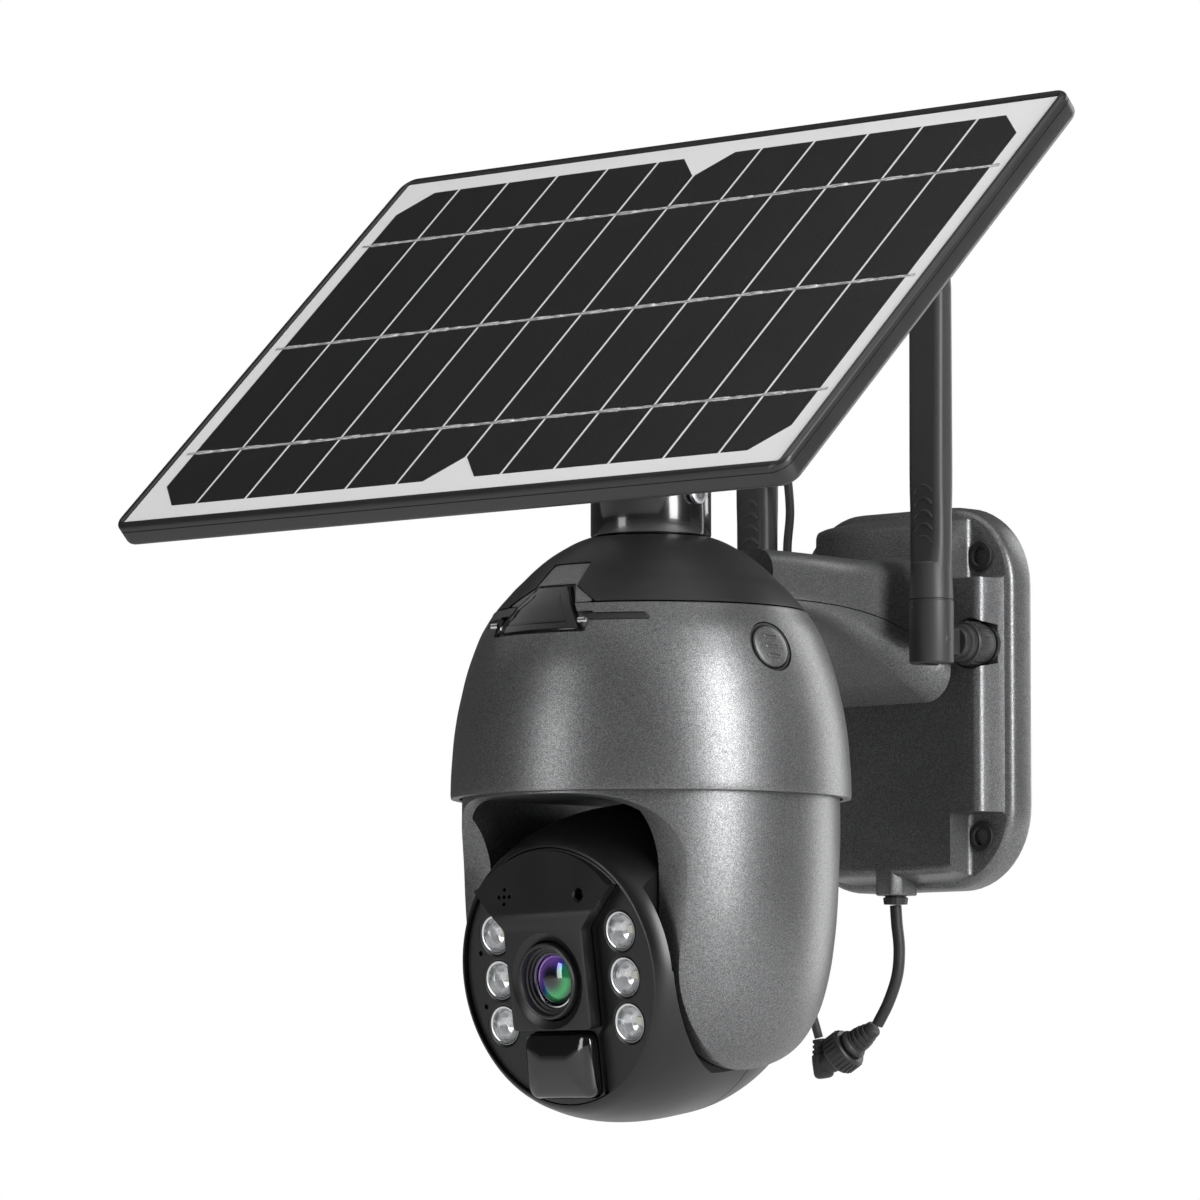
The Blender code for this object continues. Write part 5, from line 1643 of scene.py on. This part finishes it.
@dataclass
class PanelMount:
    """The swivel post with its two ears, the bracket's tongue between them, the bolt and the knob."""

    bolt_r: float = 2.8

    def post(self) -> None:
        """Make the post that turns in the neck."""
        body = turned([(0, 71.0), (17.6, 71.0), (18.6, 70.8), (19.4, 70.1), (19.6, 69.4), (19.6, 66.9),
                       (19.2, 66.35), (14.95, 66.35), (14.95, 49.0), (0, 49.0)], 128)
        ear = [(-9, -12), (9, -12)] + [(9 * math.cos(math.radians(a)), 9 * math.sin(math.radians(a)))
                                       for a in range(0, 181, 6)]
        for side in Side:
            body.join(prism(ear, -2.0, 2.0, 0.5).placed(at(side.value * 9.4, 0, PIVOT_Z) @ spin(90, "Z")
                                                        @ spin(90, "X")))
        body.cut(rod(3.2, -20, 20, 0.0, 40).placed(at(0, 0, PIVOT_Z) @ spin(90, "Y")))
        Maker.piece("swivel_post_skin", body.placed(SWIVEL_FRAME), SATIN_BLACK, Body.SWIVEL, ["swivel_post"])

    def bolt(self) -> None:
        """Make the bolt with its six-sided head, and the ribbed knob."""
        axis = SWIVEL_FRAME @ at(0, 0, PIVOT_Z) @ spin(90, "Y")
        head = turned([(0, 16.0), (4.2, 16.0), (5.0, 15.6), (6.4, 15.0), (6.4, 12.2), (5.2, 11.8), (0, 11.8)],
                      48)
        head.keep(prism(circle(5.4, 6), 11.0, 17.0))
        shank = rod(self.bolt_r, -13.0, 12.5, 0.3)
        Maker.piece("tilt_bolt_skin", shank.join(head).placed(axis), STEEL, Body.SWIVEL, ["tilt_bolt"])
        knob = turned([(3.1, -13.5), (7.3, -13.5), (7.8, -14.0), (7.8, -18.7), (7.2, -19.3), (4.2, -19.4),
                       (3.9, -18.9), (3.1, -18.9)], 96, True)
        flute = rod(1.1, -21.0, -12.0, 0.0, 12)
        for i in range(12):
            knob.cut(flute.copy().placed(spin(30 * i, "Z") @ at(8.2, 0, 0)))
        Maker.piece("tilt_knob_skin", knob.placed(axis), SATIN_BLACK, Body.SWIVEL, ["tilt_knob"])

    def bracket(self, underside: float) -> None:
        """Make the bracket on the panel's back.

        Args:
            underside: Height of its seat above the pivot.
        """
        plate = prism(rounded(32.0, 30.0, 6.0, 8), underside - 2.6, underside, 0.6)
        tongue = [(underside - 2.0, -10.0), (underside - 2.0, 10.0)]
        tongue += [(8.4 * math.cos(math.radians(a)), 8.4 * math.sin(math.radians(a)))
                   for a in range(90, 271, 6)]
        plate.join(prism(tongue, -6.8, 6.8, 0.5).placed(spin(-90, "Y")))
        plate.cut(rod(3.2, -15, 15, 0.0, 40).placed(spin(90, "Y")))
        Maker.piece("panel_bracket_skin", plate.placed(PANEL_FRAME), SATIN_BLACK, Body.PANEL,
                    ["panel_bracket"])
        screw = turned([(0, -2.0), (2.2, -1.9), (3.0, -1.2), (3.2, 0.0), (0, 0.0)], 32)
        screw.cut(prism(circle(1.2, 6), -3.0, -0.9))
        low = underside - 2.6
        screws = Repeat.of(screw, STEEL, 2, (50.0, 0, 0), (-25.0, -22.0, low)).with_loose(
            Repeat.of(screw, STEEL, 2, (50.0, 0, 0), (-25.0, 22.0, low)))
        Maker.piece("bracket_screws", screws.placed(PANEL_FRAME), STEEL, Body.PANEL)


# ---------------------------------------------------------------- aerials and cords


@dataclass
class Aerial:
    """One paddle aerial: connector, turning nut with its elbow, and the blade that folds on its pin."""

    side: Side
    x: float = 39.2
    y: float = -41.8
    z: float = 17.0

    def nut(self, body: Body) -> None:
        """Make the nut and elbow."""
        here = at(self.side.value * self.x, 0, self.z)
        profile = [(0, 30.0), (4.8, 30.0), (5.2, 29.6), (5.2, 27.8), (5.9, 27.5), (6.2, 27.1), (6.2, 25.4),
                   (6.9, 25.2), (7.2, 24.7), (7.2, 18.9), (6.9, 18.2), (6.6, 16.4), (6.4, 16.2), (0, 16.2)]
        nut = turned(profile, 72).placed(here @ spin(90, "X"))
        tongue = [(-13.0, -4.4)] + [(4.4 * math.cos(math.radians(a)), 4.4 * math.sin(math.radians(a)))
                                    for a in range(-90, 91, 6)] + [(-13.0, 4.4)]
        pivot = at(self.side.value * self.x, self.y, self.z)
        nut.join(prism(tongue, -2.3, 2.3, 0.3).placed(pivot @ spin(-90, "Z") @ spin(90, "X")))
        nut.cut(rod(1.65, -15, 15, 0.0, 32).placed(pivot @ spin(90, "Y")))
        Maker.piece(f"aerial_nut_skin_{self.side.word}", nut, AERIAL_BLACK, body,
                    [f"aerial_nut_{self.side.word}"])
        ridge = block((1.0, 0.9, 5.0), 0.2).placed(at(7.05, 0, 21.8))
        ridges = Repeat.of(ridge, AERIAL_BLACK, 20, turn=(0, 0, 18))
        Maker.piece(f"aerial_knurl_{self.side.word}", ridges.placed(here @ spin(90, "X")), AERIAL_BLACK, body)

    def blade(self, body: Body) -> None:
        """Make the folding blade with its split line, scooped grip and raised arcs."""
        tube = turned([(0, 26.0), (6.6, 26.0), (6.95, 25.4), (7.35, 14.2), (7.5, 13.75), (7.15, 13.55),
                       (7.15, 13.25), (7.5, 13.05), (7.5, -7.0), (7.3, -7.6), (6.7, -8.0), (0, -8.0)], 72)
        rings = []
        for z, half_x, half_y, radius in ((18.0, 6.6, 6.2, 6.0), (22.0, 6.9, 5.9, 5.6), (26.0, 7.1, 5.3, 4.6),
                                          (31.0, 7.2, 4.6, 3.6), (36.0, 7.2, 4.25, 3.1),
                                          (44.0, 7.2, 4.2, 2.9), (50.0, 7.2, 4.35, 2.8),
                                          (56.0, 7.22, 4.4, 2.8), (90.0, 7.26, 4.2, 2.7),
                                          (118.0, 7.3, 4.0, 2.6), (121.5, 7.1, 3.9, 2.6),
                                          (124.0, 6.6, 3.5, 2.4), (125.4, 5.9, 2.9, 2.2),
                                          (126.0, 5.2, 2.3, 1.9)):
            rings.append([(x, y, z) for x, y in rounded(half_x, half_y, radius, 8)])
        tube.join(loft(rings))
        tube.cut(block((5.4, 30.0, 21.3)).placed(at(0, 9.9, -4.35)))
        pivot = at(self.side.value * self.x, self.y, self.z)
        tube.join(turned([(0, 7.6), (1.0, 7.6), (1.3, 7.4), (1.3, -7.4), (1.0, -7.6), (0, -7.6)], 24)
                  .placed(spin(90, "Y")))
        Maker.piece(f"aerial_blade_skin_{self.side.word}", tube.placed(pivot), AERIAL_BLACK, body,
                    [f"aerial_blade_{self.side.word}"], sharp=28)
        arc = [Vector((4.9 * math.sin(math.radians(a)), -4.05, 6.2 * math.cos(math.radians(a)) - 6.2))
               for a in range(-52, 53, 13)]
        arcs = Repeat.of(hose(arc, 0.62, 8), AERIAL_BLACK, 5, (0, 0, 4.3), (0, 0, 34.5))
        back = arcs.copy().placed(Matrix.Diagonal((1, -1, 1, 1)))
        Maker.piece(f"aerial_grip_{self.side.word}", arcs.with_loose(back).placed(pivot), AERIAL_BLACK, body)

    def build(self) -> None:
        """Make nut and blade."""
        left = self.side is Side.LEFT
        self.nut(Body.NUT_LEFT if left else Body.NUT_RIGHT)
        self.blade(Body.AERIAL_LEFT if left else Body.AERIAL_RIGHT)


@dataclass
class Cords:
    """The short pigtail with its ribbed socket, and the solar lead with its angled plug, in two free runs."""

    pigtail_r: float = 2.0
    lead_r: float = 1.5
    pigtail: tuple = ((0.0, -15.5, -69.8), (0.6, -15.6, -76.0), (1.8, -15.8, -84.5), (1.2, -16.2, -93.5),
                      (-2.2, -16.8, -102.5), (-6.8, -17.3, -110.0))
    lead: tuple = ((-30.2, -20.9, -114.2), (-31.6, -23.4, -104.0), (-32.6, -26.8, -88.0),
                   (-32.0, -28.4, -64.0), (-31.0, -28.8, -30.0), (-29.6, -30.6, 0.0), (-28.9, -34.0, 20.0),
                   (-28.6, -37.6, 38.0), (-27.2, -39.8, 52.0), (-24.2, -41.8, 66.0), (-22.8, -47.0, 82.0),
                   (-24.8, -57.0, 97.0), (-27.4, -64.5, 105.0))
    loop: tuple = ((-28.0, -65.9, 106.2), (-29.4, -78.0, 114.5), (-30.6, -91.0, 122.2),
                   (-38.0, -103.0, 131.6), (-44.4, -112.8, 141.2), (-43.6, -119.8, 148.0),
                   (-35.9, -122.8, 149.4))
    socket_end: Point3 = (-7.2, -17.4, -110.7)
    plug_end: Point3 = (-28.6, -20.6, -124.2)

    def cord(self, name: str, points: Sequence[Point3], radius: float,
             body: Optional[Body]) -> bpy.types.Object:
        """Make one free run, measured along its own curve.

        Args:
            name: CAD node that it stands for.
            points: Its route.
            radius: Its radius.
            body: The body that it rides on, or none for a run that spans a joint.

        Returns:
            The piece.
        """
        route = flowing(points, 1.6)
        length = sum((b - a).length for a, b in zip(route, route[1:]))
        piece = Maker.piece(f"{name}_skin", hose(route, radius, 20), CORD_BLACK, body, [name], sharp=50)
        route[0] * MM
        [point * MM for point in route]
        log.info("%s: %.1f mm long", name, length)
        return piece

    def connector(self) -> list[bpy.types.Object]:
        """Make the ribbed socket, the coupling nut and the angled plug."""
        start, end = Vector(self.socket_end), Vector(self.plug_end)
        length = (end - start).length
        axis = Matrix.Translation(start) @ (end - start).to_track_quat("Z", "Y").to_matrix().to_4x4()
        socket = turned([(0, 12.0), (4.9, 12.0), (5.2, 11.6), (5.2, 10.7), (4.8, 10.2), (4.3, 9.8),
                         (4.3, 9.0), (3.8, 8.8), (3.8, 8.2), (4.2, 8.0), (4.2, 7.2), (3.7, 7.0), (3.7, 6.4),
                         (4.0, 6.2), (3.9, 5.4), (3.3, 5.2), (3.2, 4.6), (3.5, 4.4), (3.4, 3.6), (2.9, 3.4),
                         (2.8, 2.8), (3.0, 2.6), (2.8, 1.2), (2.5, 0.8), (0, 0.8)], 48)
        socket_piece = Maker.piece("pigtail_socket_skin", socket.placed(axis), CORD_BLACK, Body.FIXED,
                                   ["pigtail_socket"], sharp=40)
        nut = turned([(0, 19.4), (6.2, 19.4), (6.6, 19.1), (7.0, 18.4), (7.0, 13.4), (6.6, 12.7), (6.2, 12.4),
                      (0, 12.4)], 60)
        ridge = block((0.8, 0.9, 4.8), 0.2).placed(at(6.95, 0, 15.9))
        nut.with_loose(Repeat.of(ridge, SATIN_BLACK, 24, turn=(0, 0, 15)))
        nut_piece = Maker.piece("coupling_nut_skin", nut.placed(axis), SATIN_BLACK, Body.FIXED,
                                ["coupling_nut"])
        plug = turned([(0, length + 1.0), (2.6, length + 0.95), (3.2, length + 0.5), (3.6, length - 1.8),
                       (4.0, length - 3.0), (4.4, 20.6), (4.3, 19.8), (0, 19.8)], 48).placed(axis)
        lift = Vector(self.lead[0]) - end
        up = Matrix.Translation(end) @ lift.to_track_quat("Z", "Y").to_matrix().to_4x4()
        top = lift.length - 0.6
        elbow = [(0, top), (2.2, top), (2.35, top - 0.3), (2.35, top - 1.0), (2.0, top - 1.2),
                 (2.0, top - 1.7), (2.6, top - 1.9), (2.6, top - 2.7), (2.25, top - 2.9), (2.25, top - 3.4),
                 (2.9, top - 3.6), (3.0, top - 4.4), (2.7, top - 4.6), (2.75, top - 5.0), (3.3, top - 5.3),
                 (3.5, 2.0), (3.5, -2.2), (3.1, -3.2), (2.3, -3.75), (0, -3.95)]
        plug.join(turned(elbow, 48).placed(up))
        plug_piece = Maker.piece("lead_plug_skin", plug, CORD_BLACK, Body.FIXED, ["lead_plug"], sharp=40)
        return [socket_piece, nut_piece, plug_piece]

    def build(self) -> None:
        """Make the connector and both cords, with the lead's loop left on no body."""
        socket, _, _ = self.connector()
        self.cord("pigtail_cord", self.pigtail, self.pigtail_r, Body.FIXED)
        self.cord("solar_lead", self.lead, self.lead_r, Body.FIXED)
        loop = self.cord("solar_lead_loop", self.loop, self.lead_r, None)
        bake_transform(loop)


# ---------------------------------------------------------------- studio


@dataclass
class Studio:
    """Pale floor, soft lamps and the camera."""

    azimuth: float = 43.5
    elevation: float = -4.7
    distance: float = 2290.0
    lens: float = 210.0
    aim_offset: Point2 = (-16.7, 65.4)
    floor_z: float = -260.0
    floor_half: float = 2500.0

    def basis(self) -> tuple[Vector, Vector, Vector]:
        """The camera's right, up and back."""
        a, e = math.radians(self.azimuth), math.radians(self.elevation)
        back = Vector((math.sin(a) * math.cos(e), -math.cos(a) * math.cos(e), math.sin(e)))
        right = Vector((math.cos(a), math.sin(a), 0.0))
        return right, back.cross(right), back

    def camera(self) -> None:
        """Place the camera."""
        right, up, back = self.basis()
        aim = Vector((0, AXIS_Y, RIM_Z)) + self.aim_offset[0] * right + self.aim_offset[1] * up
        data = bpy.data.cameras.new("camera")
        data.lens, data.sensor_width = self.lens, 36.0
        data.clip_start, data.clip_end = 0.05, 20.0
        camera = bpy.data.objects.new("camera", data)
        turn = Matrix((right, up, back)).transposed().to_4x4()
        camera.matrix_world = Matrix.Translation((aim + self.distance * back) * MM) @ turn
        bpy.context.scene.collection.objects.link(camera)
        bpy.context.scene.camera = camera

    def lamp(self, name: str, place: Point3, aim: Point3, size: tuple[float, float], power: float) -> None:
        """Add one soft box.

        Args:
            name: Its name.
            place: Where it is, as (right, up, towards the camera) from the object's middle, in millimetres.
            aim: What it looks at, the same way.
            size: Its width and height in metres.
            power: Its power in watts.
        """
        right, up, back = self.basis()
        middle = Vector((0, AXIS_Y, RIM_Z))

        def world(point: Point3) -> Vector:
            """A camera-wise point in world axes."""
            return middle + right * point[0] + up * point[1] + back * point[2]

        data = bpy.data.lights.new(name, "AREA")
        data.shape, data.size, data.size_y, data.energy = "RECTANGLE", size[0], size[1], power
        lamp = bpy.data.objects.new(name, data)
        way = (world(place) - world(aim)).normalized()
        turn = way.to_track_quat("Z", "Y").to_matrix().to_4x4()
        lamp.matrix_world = Matrix.Translation(world(place) * MM) @ turn
        bpy.context.scene.collection.objects.link(lamp)

    def world(self) -> None:
        """White behind the object, dim grey as light."""
        world = bpy.data.worlds.new("studio")
        world.use_nodes = True
        tree = world.node_tree
        tree.nodes.clear()

        def node(kind: str, inputs: dict[Union[int, str], Any]) -> bpy.types.Node:
            """Add a node with its inputs."""
            made = tree.nodes.new(kind)
            for key, value in inputs.items():
                if isinstance(value, bpy.types.NodeSocket):
                    tree.links.new(value, made.inputs[key])
                else:
                    made.inputs[key].default_value = value
            return made

        seen = node("ShaderNodeLightPath", {}).outputs["Is Camera Ray"]
        light = node("ShaderNodeBackground", {0: (0.5, 0.5, 0.51, 1.0), 1: 0.12})
        behind = node("ShaderNodeBackground", {0: (1.0, 1.0, 1.0, 1.0), 1: 1.0})
        mixed = node("ShaderNodeMixShader", {0: seen, 1: light.outputs[0], 2: behind.outputs[0]})
        node("ShaderNodeOutputWorld", {0: mixed.outputs[0]})
        bpy.context.scene.world = world

    def build(self) -> None:
        """Light and frame the scene."""
        self.world()
        self.lamp("key", (900, 500, 900), (0, -20, 0), (0.4, 1.0), 22.0)
        self.lamp("fill", (-1100, 100, 700), (0, -20, 0), (0.35, 1.3), 8.0)
        self.lamp("top", (-100, 1300, 100), (0, 0, 0), (1.4, 0.8), 6.0)
        self.lamp("rim_right", (900, 100, -700), (60, -20, 0), (0.5, 1.3), 7.0)
        self.lamp("front", (-150, -500, 1700), (60, -20, 0), (0.7, 0.5), 15.0)
        self.lamp("under", (300, -1000, 500), (0, 0, 0), (1.2, 0.6), 2.0)
        floor = prism(rounded(self.floor_half, self.floor_half, 20.0, 3), self.floor_z - 2.0, self.floor_z)
        mesh = floor.mesh
        mesh.transform(Matrix.Scale(MM, 4))
        mesh.materials.clear()
        mesh.materials.append(FLOOR.material())
        ground = bpy.data.objects.new("floor", mesh)
        bpy.context.scene.collection.objects.link(ground)
        self.camera()
        settings = bpy.context.scene.view_settings
        settings.view_transform, settings.look = "Standard", "None"


def main() -> None:
    """Build every sub-assembly, then the studio."""
    logging.basicConfig(level=logging.INFO, format="%(name)s %(message)s")
    housing, panel, mount = Housing(), SolarPanel(), PanelMount()
    WallBase().build()
    Arm().build(housing.whole(-0.35))
    housing.build()
    CallButton().build()
    Neck().build()
    Inside().build()
    Yoke().build()
    Head().build()
    mount.post()
    mount.bolt()
    mount.bracket(panel.underside)
    panel.build()
    for side in Side:
        Aerial(side).build()
    Cords().build()
    Studio().build()
    log.info("%d pieces made", Maker.count)


if __name__ == "__main__":
    main()
